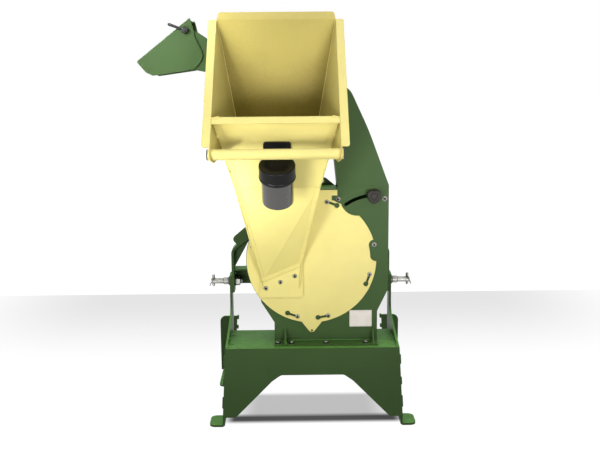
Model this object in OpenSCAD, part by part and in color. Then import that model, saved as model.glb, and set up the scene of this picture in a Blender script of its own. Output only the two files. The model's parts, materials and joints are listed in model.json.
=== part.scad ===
// Chipper carried on a tractor's three-point hitch and driven by its power take-off.
// X runs across the machine, +Y points at the tractor, and the feed hopper is on the -Y side.
// The origin is on the floor, midway between the side plates, under the lower hitch pins' line.

/* [Base] */
// Height of the base's top plate above the floor
base_h = 300; // [280:5:320]
// Width across the side plates at the top plate
base_w = 632; // [620:2:660]
// How much further out each side plate stands at the floor
base_splay = 17; // [8:1:24]
// Front edge of the side plates, in front of the origin
base_front = 310; // [300:2:330]
// Rear edge of the side plates, behind the origin
base_rear = 310; // [290:5:330]
// Front-to-back depth of the top plate
top_plate_d = 216; // [210:2:230]
// Thickness of the base plates
plate_t = 8; // [6:1:10]
// Height of the apron's bottom edge above the floor
apron_clear = 36; // [25:1:60]
// Height of the front arch
arch_h = 198; // [170:2:220]
// Width of the front arch at its top
arch_top_w = 250; // [180:5:280]
// Width of the front arch at its foot
arch_foot_w = 566; // [520:2:590]
// Length of each front foot
front_foot_l = 90; // [70:5:120]
// Length of each rear foot
rear_foot_l = 218; // [180:2:240]
// How far the feet stand out from the side plates
foot_out = 48; // [36:2:60]
// Height of the rear corner flanges
corner_h = 244; // [200:2:260]
// Height of the side plates' towers above the floor
tower_h = 511; // [500:1:520]
// Rise of the side plates' upper edge from front to tower
shoulder_rise = 58; // [30:2:80]
// Height of the side plates at their rear edges
rear_plate_h = 168; // [150:2:180]

/* [Hitch] */
// Distance of the lower link pins below the towers' tops
pin_drop = 31; // [26:1:40]
// Distance of the hitch line in front of the origin
pin_fwd = 9; // [0:1:15]
// Radius of the lower link pins
pin_r = 11; // [10:0.5:11]
// Shoulder of each lower link pin, from the middle
pin_shoulder = 341.5; // [340:0.5:346]
// Length of each pin beyond its shoulder
pin_l = 50; // [48:0.5:54]
// Height of the top link's hole above the lower pins
mast_rise = 460; // [450:1:470]
// Radius of the top link's hole
top_hole_r = 9.75; // [9.5:0.05:10.5]
// Gap between the top link's two ears
ear_gap = 56; // [52:1:64]
// Thickness of the mast's bars
mast_t = 10; // [8:1:12]
// Width of the mast's bars, front to back
mast_d = 60; // [56:2:66]
// Height of the bend in each mast bar
mast_bend_h = 605; // [590:1:620]
// Slope of the mast's upper bars
mast_slope = 40; // [36:1:42]
// Height of the crossbeam's top above the floor
beam_top = 532; // [520:1:536]
// Height of the crossbeam's web
beam_h = 70; // [50:1:72]
// Radius of each linchpin
linchpin_r = 5; // [4:0.5:5.5]
// Radius of each linchpin's ring
ring_r = 21; // [20:0.5:23]
// Radius of the ring's wire
ring_wire_r = 2; // [1.5:0.1:2.2]

/* [Housing and spout] */
// Height of the rotor's axis above the top plate
axis_rise = 312; // [306:1:318]
// Front face of the housing, in front of the origin
housing_fwd = 235; // [230:1:238]
// Depth of the housing over its two sheets
housing_d = 120; // [116:1:122]
// Thickness of the housing's sheets
sheet_t = 4; // [3:0.5:5]
// Outer radius of the housing round the rotor
casing_r = 238; // [234:1:242]
// Radius of the opening behind the cover
port_r = 211; // [210:0.5:212]
// Top of the housing above the axis
housing_top = 258; // [256:1:262]
// Outer side of the chip outlet, from the axis
outlet_out = 280; // [276:1:290]
// Inner side of the chip outlet, from the axis
outlet_in = 95; // [90:1:100]
// Height of the spout's joint above the axis
spout_foot = 269; // [265:1:274]
// How far the spout's mouth is from the axis
spout_reach = 404; // [390:2:420]
// Top of the spout's mouth above the axis
spout_mouth_top = 790; // [780:2:800]
// Height of the spout's mouth
spout_mouth_h = 109; // [100:1:120]
// Bolt radius of the damper's arc slot
damper_r = 180; // [176:1:182]
// How far the damper swings, in degrees
damper_swing = 34; // [20:1:34]
// Thickness of the rating plate
label_t = 1.5; // [1:0.5:2]

/* [Rotor] */
// Radius of the rotor disc
disc_r = 208; // [200:1:209]
// Thickness of the rotor disc
disc_t = 12; // [10:1:14]
// Number of fan paddles
paddle_n = 4; // [2:1:6]
// Radius of the drive shaft in its bearings
shaft_r = 17.5; // [16:0.5:18]
// Radius of the splined drive end
spline_r = 17.4; // [16:0.1:17.4]
// Radius of the ball bearings
bearing_r = 36; // [34:0.5:38]
// Width of the ball bearings
bearing_w = 17; // [15:1:20]
// Rear end of the drive shaft behind the origin
shaft_rear = 140; // [130:2:150]
// Running clearance of the shaft and the damper, on the radius
run_gap = 0.08; // [0.05:0.01:0.1]

/* [Cover] */
// Thickness of the cover
cover_t = 6; // [5:0.5:6]
// Radius of the cover
cover_r = 236; // [233:1:236]
// Radius of the circle through the cover's bolts
cover_bolt_r = 219; // [218:0.5:221]
// How far the cover turns to free its bolts, in degrees
cover_turn = 10; // [8:0.5:10]
// Angle of the anvil below the horizontal
anvil_angle = 22.9; // [20:0.5:26]
// Thickness of the anvil
anvil_t = 14; // [10:1:15]
// Width of the anvil
anvil_w = 50; // [44:1:50]

/* [Hopper] */
// Middle of the hopper, to the left of the axis
hopper_off = 116; // [112:1:120]
// Inner width of the hopper's mouth
mouth_w = 404; // [384:2:424]
// Length of the mouth along its slope
mouth_l = 411; // [400:1:420]
// Slope of the mouth from the vertical
mouth_tilt = 39.6; // [38:0.2:41]
// Top edge of the mouth above the axis
mouth_rise = 846; // [836:1:856]
// Top edge of the mouth in front of the housing
mouth_fwd = 57; // [50:1:64]
// How much each side wall draws in per unit of depth
wall_taper = 0.243; // [0.22:0.001:0.26]
// Thickness of the hopper's sheets
hopper_t = 3; // [2:0.5:4]
// Width of the flanges beside the mouth
side_flange = 26.5; // [20:0.5:30]
// Width of the flange over the mouth
top_flange = 34; // [24:1:40]
// Width of the flange at the feeding lip
lip_flange = 26; // [20:1:34]
// How far the side walls stand past the front wall
seam_lip = 8; // [4:1:12]
// Where the gussets that carry the handle meet the front wall, from the lip
gusset_l = 130; // [90:5:150]
// Outer radius of the handle tube
handle_r = 16.85; // [15:0.05:18]
// Overall length of the handle tube
handle_l = 417; // [412:1:440]
// Outer radius of the document tube
doc_r = 52; // [46:1:54]
// Length of the document tube with its cap
doc_l = 146; // [130:2:160]
// Thickness of the document tube's wall
doc_t = 3; // [2:0.5:4]

/* [Deflector] */
// Length of the deflector beyond the spout's mouth
deflector_l = 198; // [170:2:220]
// Thickness of the deflector's sheets
deflector_t = 3; // [2:0.5:4]
// Gap between the deflector's cheeks and the spout
cheek_gap = 5; // [4:0.5:6]
// Length of the clamp lever
lever_l = 62; // [50:1:80]

/* [Hidden] */

pin_h = tower_h - pin_drop;

green = "#4c6c40";
cream = "#f0e490";
zinc = "#c4c4c0";
steel = "#8c8c8c";
black = "#202020";

$fn = 96;
arc_step = 6;       // degrees between the points of a rounded corner
slack = 0.2;        // gap between plates that are welded edge to edge
hole_gap = 0.3;     // clearance of a bolt in its hole, on the radius
face_gap = 0.3;     // clearance between pieces that move past each other

axis_z = base_h + axis_rise;
half_w = base_w / 2;
splay_angle = atan(base_splay / base_h);
tower_fwd = pin_fwd + mast_d / 2;
tower_back = mast_d / 2 - pin_fwd;
beam_t = 6;

front_y = -housing_fwd;
front_in = front_y + sheet_t;
rear_y = front_y + housing_d;
rear_in = rear_y - sheet_t;
cover_y = front_y - cover_t;

// Half width over the side plates, and of the space between them, at the height z
function outer_w(z) = half_w + (base_h - z) * base_splay / base_h;
function inside_w(z) = half_w - plate_t - slack + (base_h - z) * base_splay / base_h;

function unit(v) = v / norm(v);
function left_of(v) = [-v[1], v[0]];
function polar(r, a) = [r * cos(a), r * sin(a)];
function reversed(p) = [for (i = [len(p) - 1:-1:0]) p[i]];
function turned(d) = d > 180 ? d - 360 : d < -180 ? d + 360 : d;

// One corner b between a and c, as an arc of radius r
function corner(a, b, c, r) = r <= 0 ? [b] : let(
  u = unit(a - b), w = unit(c - b), half = acos(u * w) / 2,
  reach = min(r / tan(half), 0.49 * min(norm(a - b), norm(c - b))),
  q = reach * tan(half), mid = b + unit(u + w) * q / sin(half),
  p0 = b + u * reach - mid, p1 = b + w * reach - mid,
  a0 = atan2(p0[1], p0[0]), turn = turned(atan2(p1[1], p1[0]) - a0),
  n = max(2, ceil(abs(turn) / arc_step)))
  [for (i = [0:n]) mid + polar(q, a0 + turn * i / n)];
// A closed outline with its corners rounded to the radii r
function rounded(p, r) = let(n = len(p)) [for (i = [0:n - 1])
  each corner(p[(i + n - 1) % n], p[i], p[(i + 1) % n], r[i])];
// An open path with its inner corners rounded to the radii r
function rounded_path(p, r) = let(n = len(p)) [for (i = [0:n - 1])
  each (i == 0 || i == n - 1 ? [p[i]] : corner(p[i - 1], p[i], p[i + 1], r[i]))];
// A path moved sideways by d, to the left of its direction
function shifted(p, d) = let(n = len(p)) [for (i = [0:n - 1]) let(
  n0 = left_of(unit(p[max(i, 1)] - p[max(i, 1) - 1])),
  n1 = left_of(unit(p[min(i, n - 2) + 1] - p[min(i, n - 2)])),
  m = unit(n0 + n1)) p[i] + m * d / (m * n0)];
function band(p, d) = concat(p, reversed(shifted(p, d)));
// A closed outline, given anticlockwise, with every edge moved inwards by d
function inset(p, d) = let(n = len(p)) [for (i = [0:n - 1]) let(
  n0 = left_of(unit(p[i] - p[(i + n - 1) % n])), n1 = left_of(unit(p[(i + 1) % n] - p[i])),
  m = unit(n0 + n1)) p[i] + m * d / (m * n0)];

// An outline drawn in X and Z, made solid from y0 to y1
module slab(y0, y1) {
  translate([0, y1, 0]) rotate([90, 0, 0]) linear_extrude(y1 - y0) children();
}
// An outline drawn in Y and Z, made solid from x0 to x1
module plank(x0, x1) {
  translate([x0, 0, 0]) rotate([90, 0, 90]) linear_extrude(x1 - x0) children();
}
// A block between two corners
module block(a, b) {
  translate(a) cube(b - a);
}
// A cylinder along X, Y or an arbitrary line from a to b
module bar(a, b, r, sides = 96) {
  v = b - a;
  translate(a) rotate([0, acos(v[2] / norm(v)), atan2(v[1], v[0])])
    cylinder(h = norm(v), r = r, $fn = sides);
}
// A flat sheet whose inner face has the corners p, with its thickness t on the side of their normal
module sheet(p, t) {
  u = unit(p[1] - p[0]);
  n = unit(cross(u, p[2] - p[0]));
  v = cross(n, u);
  multmatrix([[u[0], v[0], n[0], p[0][0]], [u[1], v[1], n[1], p[0][1]],
              [u[2], v[2], n[2], p[0][2]], [0, 0, 0, 1]])
    linear_extrude(t) polygon([for (q = p) [(q - p[0]) * u, (q - p[0]) * v]]);
}
// A curved slot round the drawing's origin, w wide
module arc_slot(r, w, a0, a1) {
  intersection() {
    difference() {
      circle(r + w / 2);
      circle(r - w / 2);
    }
    polygon([[0, 0], polar(2 * r, a0), polar(2 * r, (a0 + a1) / 2), polar(2 * r, a1)]);
  }
  translate(polar(r, a0)) circle(w / 2, $fn = 48);
  translate(polar(r, a1)) circle(w / 2, $fn = 48);
}
module mirrored(side) {
  if (side < 0) mirror([1, 0, 0]) children();
  else children();
}
// A button head with a hex socket, its flat side at y and the dome towards -Y
button_r = 8.5;
button_h = 5;
module button_head(x, y, z, r = button_r) {
  h = button_h * r / button_r;
  dome = (r * r + h * h) / (2 * h);
  translate([x, y, z]) rotate([90, 0, 0]) difference() {
    intersection() {
      translate([0, 0, h - dome]) sphere(dome, $fn = 64);
      cylinder(h = h + 1, r = r, $fn = 48);
    }
    translate([0, 0, h - 2.6]) cylinder(h = 4, r = r * 0.36, $fn = 6);
  }
}
// A hexagon head or nut, h high towards -Y from y
module hex_head(x, y, z, r, h) {
  translate([x, y, z]) rotate([90, 0, 0]) cylinder(h = h, r = r, $fn = 6);
}

// Base

slot_l = 16;
slot_w = 6;
slot_x = 296;
slot_y = [-256, -154];
hole_y = [-225, -154];
behind_apron = plate_t + slack - base_front;
module base_top_plate() {
  color(green) difference() {
    block([-inside_w(base_h), behind_apron, base_h - plate_t],
          [inside_w(base_h), behind_apron + top_plate_d, base_h]);
    for (y = slot_y) translate([-slot_x, y, base_h - plate_t - 1]) {
      for (dx = [-1, 1]) translate([dx * (slot_l - slot_w) / 2, 0, 0])
        cylinder(h = plate_t + 2, r = slot_w / 2);
      translate([-(slot_l - slot_w) / 2, -slot_w / 2, 0]) cube([slot_l - slot_w, slot_w, plate_t + 2]);
    }
    for (y = hole_y) translate([slot_x, y, base_h - plate_t - 1]) cylinder(h = plate_t + 2, r = 3);
    for (x = foot_bolt_x) translate([x, foot_bolt_y, base_h - plate_t - 1])
      cylinder(h = plate_t + 2, r = foot_bolt_r + hole_gap);
  }
}

module base_front_apron() {
  slant = (arch_foot_w - arch_top_w) / 2 / (arch_h - apron_clear);
  color(green) slab(-base_front, plate_t - base_front) polygon(rounded([
    [-outer_w(base_h), base_h], [-outer_w(apron_clear), apron_clear], [-arch_foot_w / 2, apron_clear],
    [-arch_top_w / 2 - slant * 0.12 * arch_h, arch_h - 0.12 * arch_h], [-arch_top_w / 2 + 10, arch_h],
    [arch_top_w / 2 - 10, arch_h], [arch_top_w / 2 + slant * 0.12 * arch_h, arch_h - 0.12 * arch_h],
    [arch_foot_w / 2, apron_clear], [outer_w(apron_clear), apron_clear], [outer_w(base_h), base_h]],
    [0, 0, 30, 50, 24, 24, 50, 30, 0, 0]));
}

// Side plate with its bent-out feet, rear corner flange and tower; the right one
module side_plate() {
  mid_foot = half_w + base_splay - plate_t / 2;
  foot_end = half_w + base_splay + foot_out;
  difference() {
    intersection() {
      slab(-base_front - 1, base_rear + 1) polygon([
        [half_w - plate_t, tower_h + 1], [half_w - plate_t, base_h], [half_w - plate_t + base_splay, 0],
        [half_w + base_splay, 0], [half_w, base_h], [half_w, tower_h + 1]]);
      plank(half_w - plate_t - 10, half_w + base_splay + 10) polygon(rounded([
        [behind_apron, 0], [front_foot_l - base_front, 0], [front_foot_l - base_front + 50, 60],
        [base_rear - rear_foot_l - 50, 60], [base_rear - rear_foot_l, 0], [base_rear, 0],
        [base_rear, rear_plate_h], [tower_back + 60, rear_plate_h + 76], [tower_back, base_h - 30],
        [tower_back, tower_h], [-tower_fwd, tower_h], [-tower_fwd, base_h + shoulder_rise],
        [behind_apron, base_h + 1]],
        [0, 0, 30, 30, 0, 0, 20, 60, 20, 8, 8, 60, 0]));
    }
    bar([0, -pin_fwd, pin_h], [half_w + 1, -pin_fwd, pin_h], pin_r + hole_gap);
  }
  for (f = [[-base_front, front_foot_l], [base_rear - rear_foot_l, rear_foot_l]])
    linear_extrude(plate_t) polygon(rounded([
      [mid_foot, f[0]], [foot_end, f[0]], [foot_end, f[0] + f[1]], [mid_foot, f[0] + f[1]]],
      [0, 22, f[0] < 0 ? 22 : 4, 0]));
  slab(base_rear - plate_t, base_rear) polygon(rounded([
    [mid_foot, 0], [foot_end + 9, 0], [foot_end + 9, corner_h],
    [mid_foot - base_splay * corner_h / base_h, corner_h]], [0, 0, 24, 0]));
}
module base_side_left() {
  color(green) mirror([1, 0, 0]) side_plate();
}
module base_side_right() {
  color(green) side_plate();
}

module base_rear_beam() {
  rail_top = rear_plate_h + 10;
  rail_low = rail_top - 80;
  color(green) plank(-inside_w(rail_top), inside_w(rail_top)) polygon([
    [base_rear - plate_t, rail_low], [base_rear - plate_t, rail_top], [base_rear - 60, rail_top],
    [base_rear - 60, rail_top - beam_t], [base_rear - plate_t - beam_t, rail_top - beam_t],
    [base_rear - plate_t - beam_t, rail_low + beam_t], [base_rear - 60, rail_low + beam_t],
    [base_rear - 60, rail_low]]);
}

// Hitch

mast_x = half_w - plate_t - slack - mast_t;      // inner face of each mast bar
ear_x = ear_gap / 2;                             // inner face of each ear
ear_z = pin_h + mast_rise;
mast_turn_z = mast_bend_h + (mast_x - ear_x) * tan(mast_slope);
mast_foot_z = pin_h - 41;
// The mast's right bar with its brace, gusset and ear
module mast() {
  path = rounded_path([[mast_x, mast_foot_z], [mast_x, mast_bend_h], [ear_x, mast_turn_z],
    [ear_x, mast_turn_z + 40]], [0, 24, 24, 0]);
  up = [-cos(mast_slope), sin(mast_slope)];
  out = [sin(mast_slope), cos(mast_slope)];
  knee = [mast_x + mast_t - 6, mast_bend_h + 5] + out * (mast_t * 0.35);
  brace_w = 32;
  start = knee + up * 26;
  difference() {
    union() {
      slab(-tower_fwd, tower_back) polygon(band(path, -mast_t));
      plank(ear_x, ear_x + mast_t) {
        translate([-tower_fwd, mast_turn_z + 38]) square([mast_d, ear_z - mast_turn_z - 38]);
        translate([-pin_fwd, ear_z]) circle(mast_d / 2);
      }
      slab(-tower_fwd, -tower_fwd + beam_t + 2) polygon(rounded([
        start, knee + up * 330, knee + up * 330 + out * brace_w, start + out * brace_w],
        [0, 0, 0, 15]));
    }
    bar([0, -pin_fwd, ear_z], [half_w, -pin_fwd, ear_z], top_hole_r);
    bar([0, -pin_fwd, pin_h], [half_w, -pin_fwd, pin_h], pin_r + hole_gap);
  }
  slab(-tower_fwd + 20, -tower_fwd + 20 + beam_t) polygon([
    [mast_x + 1, mast_bend_h - 4], [mast_x + 1, beam_top + 1],
    [mast_x - 66, mast_bend_h - 4 + 66 * tan(mast_slope)]]);
}
module mast_left() {
  color(green) mirror([1, 0, 0]) mast();
}
module mast_right() {
  color(green) mast();
}
// Plate between the two ears, and the stay that reaches forward to the housing's rear sheet
lug_x = 44;
lug_z = axis_z + 274;
module mast_bridge() {
  stay_x = ear_x + mast_t;
  color(green) {
    block([-ear_x, -tower_fwd, mast_turn_z + 10], [ear_x, -tower_fwd + beam_t, mast_turn_z + 60]);
    difference() {
      union() {
        block([-stay_x + slack, rear_y + slack + beam_t, lug_z - 22],
              [stay_x - slack, -tower_fwd - slack, lug_z - 22 + beam_t]);
        slab(rear_y + slack, rear_y + slack + beam_t) polygon(rounded([
          [-30, axis_z + 190], [lug_x + 46, axis_z + 190], [lug_x + 46, axis_z + housing_top],
          [lug_x + 12, lug_z + 12], [lug_x - 12, lug_z + 12], [-30, axis_z + housing_top]],
          [6, 6, 6, 9, 9, 6]));
        block([-30, -tower_fwd - beam_t - slack, lug_z - 22],
              [30, -tower_fwd - slack, mast_turn_z + 60]);
      }
      bar([lug_x, rear_y - 1, lug_z], [lug_x, rear_y + beam_t + 1, lug_z], 4 + hole_gap);
    }
  }
}
module hitch_crossbeam() {
  reach = mast_x - slack;
  color(green) difference() {
    plank(-reach, reach) polygon([
      [tower_back + 4, beam_top - beam_h], [tower_back + 4, beam_top], [-tower_fwd + 4, beam_top],
      [-tower_fwd + 4, beam_top - beam_t], [tower_back + 4 - beam_t, beam_top - beam_t],
      [tower_back + 4 - beam_t, beam_top - beam_h]]);
    for (side = [-1, 1])   // room for the lower pins' nuts, where they reach the beam
      bar([side * (mast_x - nut_h - 14), -pin_fwd, pin_h], [side * mast_x, -pin_fwd, pin_h],
          washer_r + nut_room);
  }
}

nut_h = 18;
nut_r = 19;
washer_r = 21;
nut_room = 2;
linchpin_x = pin_shoulder + pin_l - 9.5;
head_r = linchpin_r + 0.5;
pin_end_r = pin_r - 0.5;   // turned down beside the seat
seat = [pin_shoulder + 1.5, linchpin_x - head_r - 0.5];
module link_pin() {
  difference() {
    union() {
      bar([mast_x - nut_h - 12, -pin_fwd, pin_h], [half_w + 1, -pin_fwd, pin_h], pin_r);
      translate([half_w, -pin_fwd, pin_h]) rotate([0, 90, 0])
        cylinder(h = 5, r = 18);
      bar([half_w + 4, -pin_fwd, pin_h], [pin_shoulder, -pin_fwd, pin_h], 14);
      bar([seat[0], -pin_fwd, pin_h], [seat[1], -pin_fwd, pin_h], pin_r);
      bar([pin_shoulder - 1, -pin_fwd, pin_h], [pin_shoulder + pin_l - 2, -pin_fwd, pin_h], pin_end_r);
      translate([pin_shoulder + pin_l - 2, -pin_fwd, pin_h]) rotate([0, 90, 0])
        cylinder(h = 2, r1 = pin_end_r, r2 = pin_end_r - 2);
    }
    translate([linchpin_x, -pin_fwd, pin_h - 30]) cylinder(h = 60, r = linchpin_r + run_gap);
  }
}
module lower_link_pin_left() {
  color(zinc) mirror([1, 0, 0]) link_pin();
}
module lower_link_pin_right() {
  color(zinc) link_pin();
}
module lower_link_nuts() {
  color(zinc) for (side = [-1, 1]) mirrored(side) difference() {
    union() {
      bar([mast_x - 3, -pin_fwd, pin_h], [mast_x, -pin_fwd, pin_h], washer_r);
      translate([mast_x - 3 - nut_h, -pin_fwd, pin_h]) rotate([0, 90, 0])
        cylinder(h = nut_h, r = nut_r, $fn = 6);
    }
    bar([mast_x - nut_h - 20, -pin_fwd, pin_h], [mast_x + 1, -pin_fwd, pin_h], pin_r + run_gap);
  }
}
hinge_z = pin_h + pin_r + 8;
ring_tilt = 22;
module pull_pin() {
  difference() {
    union() {
      translate([linchpin_x, -pin_fwd, pin_h - pin_r - 10])
        cylinder(h = 2, r1 = linchpin_r - 1.5, r2 = linchpin_r);
      translate([linchpin_x, -pin_fwd, pin_h - pin_r - 8]) cylinder(h = 2 * pin_r + 12, r = linchpin_r);
      translate([linchpin_x, -pin_fwd, pin_h + pin_r + 0.5]) cylinder(h = 14, r = head_r);
    }
    bar([linchpin_x, -pin_fwd - 20, hinge_z], [linchpin_x, -pin_fwd + 20, hinge_z],
        ring_wire_r - 0.2 + run_gap);
  }
}
module linchpin_left() {
  color(zinc) mirror([1, 0, 0]) pull_pin();
}
module linchpin_right() {
  color(zinc) pull_pin();
}
// The ring: two short ends in the linchpin's head and a loop that hangs outside the pin's tip
module pull_ring() {
  eye_r = ring_wire_r + 1;
  end_y = head_r + face_gap + eye_r;
  gap_angle = asin(end_y / ring_r);
  drop = ring_r * cos(gap_angle);
  translate([linchpin_x, -pin_fwd, hinge_z]) rotate([0, -ring_tilt, 0]) {
    for (side = [-1, 1]) {
      translate([0, side * end_y, 0]) rotate([side * 90, 0, 0])
        cylinder(h = end_y - 2, r = ring_wire_r - 0.2, $fn = 32);
      translate([0, side * end_y, 0]) sphere(eye_r, $fn = 32);
    }
    translate([0, 0, -drop]) rotate([0, 90, 0]) rotate([0, 0, gap_angle + 180])
      rotate_extrude(angle = 360 - 2 * gap_angle) translate([ring_r, 0]) circle(ring_wire_r, $fn = 24);
  }
}
module linchpin_ring_left() {
  color(zinc) mirror([1, 0, 0]) pull_ring();
}
module linchpin_ring_right() {
  color(zinc) pull_ring();
}

// Housing

tie_r = 4;
tie_pts = [[97, 221], [265, 221]];
pivot_pt = [228, 53];
foot_bolt_x = [-126, -75, 51, 196];
foot_bolt_r = 5;
stand_l = -138;
stand_r = 241;
flange_d = 53;
foot_bolt_y = front_y - flange_d * 0.55;
bolt_angles = [75, -15, -74, -104, 166.6];
left_side = cover_r - 14;
// The housing's outline about the axis, drawn anticlockwise; the stand under it reaches the top plate
body_pts = [[stand_l, -axis_rise], [stand_r, -axis_rise], [stand_r, -196], [outlet_out, -115],
  [outlet_out, spout_foot], [outlet_in, spout_foot], [outlet_in, housing_top],
  [-left_side, housing_top], [-left_side, 60], [-185, -160], [stand_l, -236]];
module housing_outline(d) {
  circle(casing_r - d, $fn = 180);
  polygon(inset(body_pts, d));
}
module at_axis(y0, y1) {
  slab(y0, y1) translate([0, axis_z]) children();
}
module housing_front_sheet() {
  color(green) {
    at_axis(front_y, front_in) difference() {
      housing_outline(0);
      circle(port_r, $fn = 180);
      translate(pivot_pt) arc_slot(damper_r, 12, 91, 91 + damper_swing);
      for (p = concat(tie_pts, [pivot_pt])) translate(p) circle(tie_r + hole_gap);
      for (a = bolt_angles) translate(polar(cover_bolt_r, a)) circle(4 + run_gap, $fn = 48);
    }
    for (a = bolt_angles) {
      p = polar(cover_bolt_r, a);
      translate([p[0], front_in + 5, axis_z + p[1]]) rotate([90, 0, 0]) difference() {
        cylinder(h = 5, r = 7, $fn = 6);
        translate([0, 0, -1]) cylinder(h = 7, r = 4 + run_gap, $fn = 48);
      }
    }
  }
}
bearing_hole_r = shaft_r + 8;
carrier_bolt_r = 62;
module housing_rear_sheet() {
  color(green) at_axis(rear_in, rear_y) difference() {
    housing_outline(0);
    circle(bearing_hole_r);
    for (p = concat(tie_pts, [pivot_pt])) translate(p) circle(tie_r + hole_gap);
    for (i = [0:3]) translate(polar(carrier_bolt_r, 45 + 90 * i)) circle(4 + hole_gap, $fn = 48);
    translate([lug_x, lug_z - axis_z]) circle(4 + hole_gap, $fn = 48);
  }
}
module rim_outline() {
  difference() {
    housing_outline(0);
    housing_outline(sheet_t);
    translate([outlet_in, housing_top - 10]) square([outlet_out - outlet_in - sheet_t, 40]);
  }
}
module housing_rim() {
  color(green) at_axis(front_in, rear_in) rim_outline();
}
// Curved floor under the rotor, which runs on straight to the outlet's outer wall
module scroll_floor() {
  end_a = 320;
  end = polar(casing_r, end_a);
  run = (outlet_out - sheet_t - end[0]) / cos(end_a - 270);
  color(green) at_axis(front_in, rear_in) difference() {
    union() {
      intersection() {
        difference() {
          circle(casing_r, $fn = 180);
          circle(casing_r - sheet_t, $fn = 180);
        }
        polygon([[0, 0], polar(2 * casing_r, 212), polar(2 * casing_r, 266), polar(2 * casing_r, end_a)]);
      }
      polygon(band([end, end + run * polar(1, end_a + 90)], sheet_t));
    }
    rim_outline();
  }
}
module housing_foot_flange() {
  rib_h = 50;
  color(green) {
    difference() {
      block([stand_l, front_y - flange_d, base_h], [stand_r, front_y, base_h + sheet_t + 1]);
      for (x = foot_bolt_x) translate([x, foot_bolt_y, base_h - 1])
        cylinder(h = 10, r = foot_bolt_r + hole_gap);
    }
    for (x = [-101, 222]) plank(x, x + 6) polygon([[front_y - flange_d + 8, base_h + 4],
      [front_y, base_h + 4], [front_y, base_h + rib_h], [front_y - 6, base_h + rib_h]]);
  }
}
washer_t = 2;
module housing_bolts() {
  color(zinc) {
    for (p = concat(tie_pts, [pivot_pt])) {
      z = axis_z + p[1];
      button_head(p[0], front_y - washer_t, z);
      bar([p[0], front_y - washer_t, z], [p[0], front_y, z], button_r + 0.5);
      bar([p[0], front_y - washer_t, z], [p[0], rear_y + 9, z], tie_r);
      hex_head(p[0], rear_y + 7, z, 7.5, 7);
    }
    for (x = foot_bolt_x) translate([x, foot_bolt_y, 0]) {
      translate([0, 0, base_h + sheet_t + 1]) cylinder(h = washer_t, r = 10);
      translate([0, 0, base_h + sheet_t + 1 + washer_t]) cylinder(h = 6.4, r = 9.2, $fn = 6);
      translate([0, 0, base_h - plate_t - 10]) cylinder(h = plate_t + sheet_t + 12, r = foot_bolt_r);
      translate([0, 0, base_h - plate_t - 8]) cylinder(h = 8, r = 9.2, $fn = 6);
    }
    for (i = [0:3]) {
      p = polar(carrier_bolt_r, 45 + 90 * i);
      z = axis_z + p[1];
      bar([p[0], rear_in - 7, z], [p[0], rear_y + 12, z], 4);
      hex_head(p[0], rear_in, z, 7.5, 6.5);
      hex_head(p[0], rear_y + 15.3, z, 7.5, 5.3);
    }
    hex_head(lug_x, rear_in, lug_z, 7.5, 5.3);
    bar([lug_x, rear_in - 1, lug_z], [lug_x, rear_y + beam_t + 10, lug_z], 4);
    hex_head(lug_x, rear_y + slack + beam_t + 6.5, lug_z, 7.5, 6.5);
  }
}
module rating_plate() {
  color("#f5ebe1") slab(front_y - label_t, front_y) polygon(rounded([
    [139, base_h + 57], [221, base_h + 57], [221, base_h + 119], [139, base_h + 119]], [3, 3, 3, 3]));
}

// Spout, with its points given from the axis

outer_path = rounded_path([[outlet_out, spout_foot], [206, 468], [138, 614],
  [-spout_reach + 40, spout_mouth_top - 4], [-spout_reach, spout_mouth_top]], [0, 900, 60, 100, 0]);
inner_path = rounded_path([[outlet_in, spout_foot], [84, 370], [79, 503],
  [-spout_reach + 40, spout_mouth_top - spout_mouth_h - 8], [-spout_reach, spout_mouth_top - spout_mouth_h]],
  [0, 900, 80, 100, 0]);
tilt_pt = [-spout_reach - 27, spout_mouth_top + 25];
ear_r = 14;
module spout_outline() {
  root = [-spout_reach + 30, spout_mouth_top - 28];
  u = unit(tilt_pt - root);
  v = left_of(u);
  difference() {
    union() {
      polygon(concat(outer_path, reversed(inner_path)));
      polygon(rounded([root + 20 * v, root - 30 * v, tilt_pt + ear_r * (u - v), tilt_pt + ear_r * (u + v)],
        [0, 0, ear_r - 1, ear_r - 1]));
    }
    translate(tilt_pt) circle(5 + hole_gap);
  }
}
module spout_front_sheet() {
  color(green) at_axis(front_y, front_in) spout_outline();
}
module spout_rear_sheet() {
  color(green) at_axis(rear_in, rear_y) spout_outline();
}
module spout_outer_strip() {
  color(green) at_axis(front_in, rear_in) difference() {
    polygon(band(outer_path, sheet_t));
    translate([outlet_out - 40, spout_foot - 40]) square([80, 40 + slack]);
  }
}
module spout_inner_strip() {
  color(green) at_axis(front_in, rear_in) polygon(band(inner_path, -sheet_t));
}

// Damper: a flap on the outlet's pivot bolt, with a stud that slides in the arc slot

flap_l = 176;
flap_tube_r = 8;
module damper_flap() {
  y0 = front_in + 1;
  y1 = rear_in - 1;
  stud = pivot_pt + polar(damper_r, 91);
  color(green) {
    at_axis(y0, y1) difference() {
      union() {
        translate(pivot_pt) {
          circle(flap_tube_r);
          rotate(91) translate([0, -sheet_t / 2]) square([flap_l, sheet_t]);
        }
        translate(stud) circle(7);
      }
      translate(pivot_pt) circle(tie_r + run_gap, $fn = 48);
    }
    bar([stud[0], front_y - 16, axis_z + stud[1]], [stud[0], y0 + 1, axis_z + stud[1]], 4);
  }
}
module damper_knob() {
  stud = pivot_pt + polar(damper_r, 91);
  y = front_y - face_gap;
  color("#463e37") difference() {
    union() {
      bar([stud[0], y - 9, axis_z + stud[1]], [stud[0], y, axis_z + stud[1]], 11);
      at_axis(y - 28, y - 8) translate(stud) {
        circle(22);
        for (a = [90, 210, 330]) rotate(a) translate([13.5, 0]) circle(13);
      }
    }
    bar([stud[0], front_y - 17, axis_z + stud[1]], [stud[0], front_y + 1, axis_z + stud[1]], 4 + run_gap);
  }
}

// Deflector hood on the spout's mouth

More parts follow.
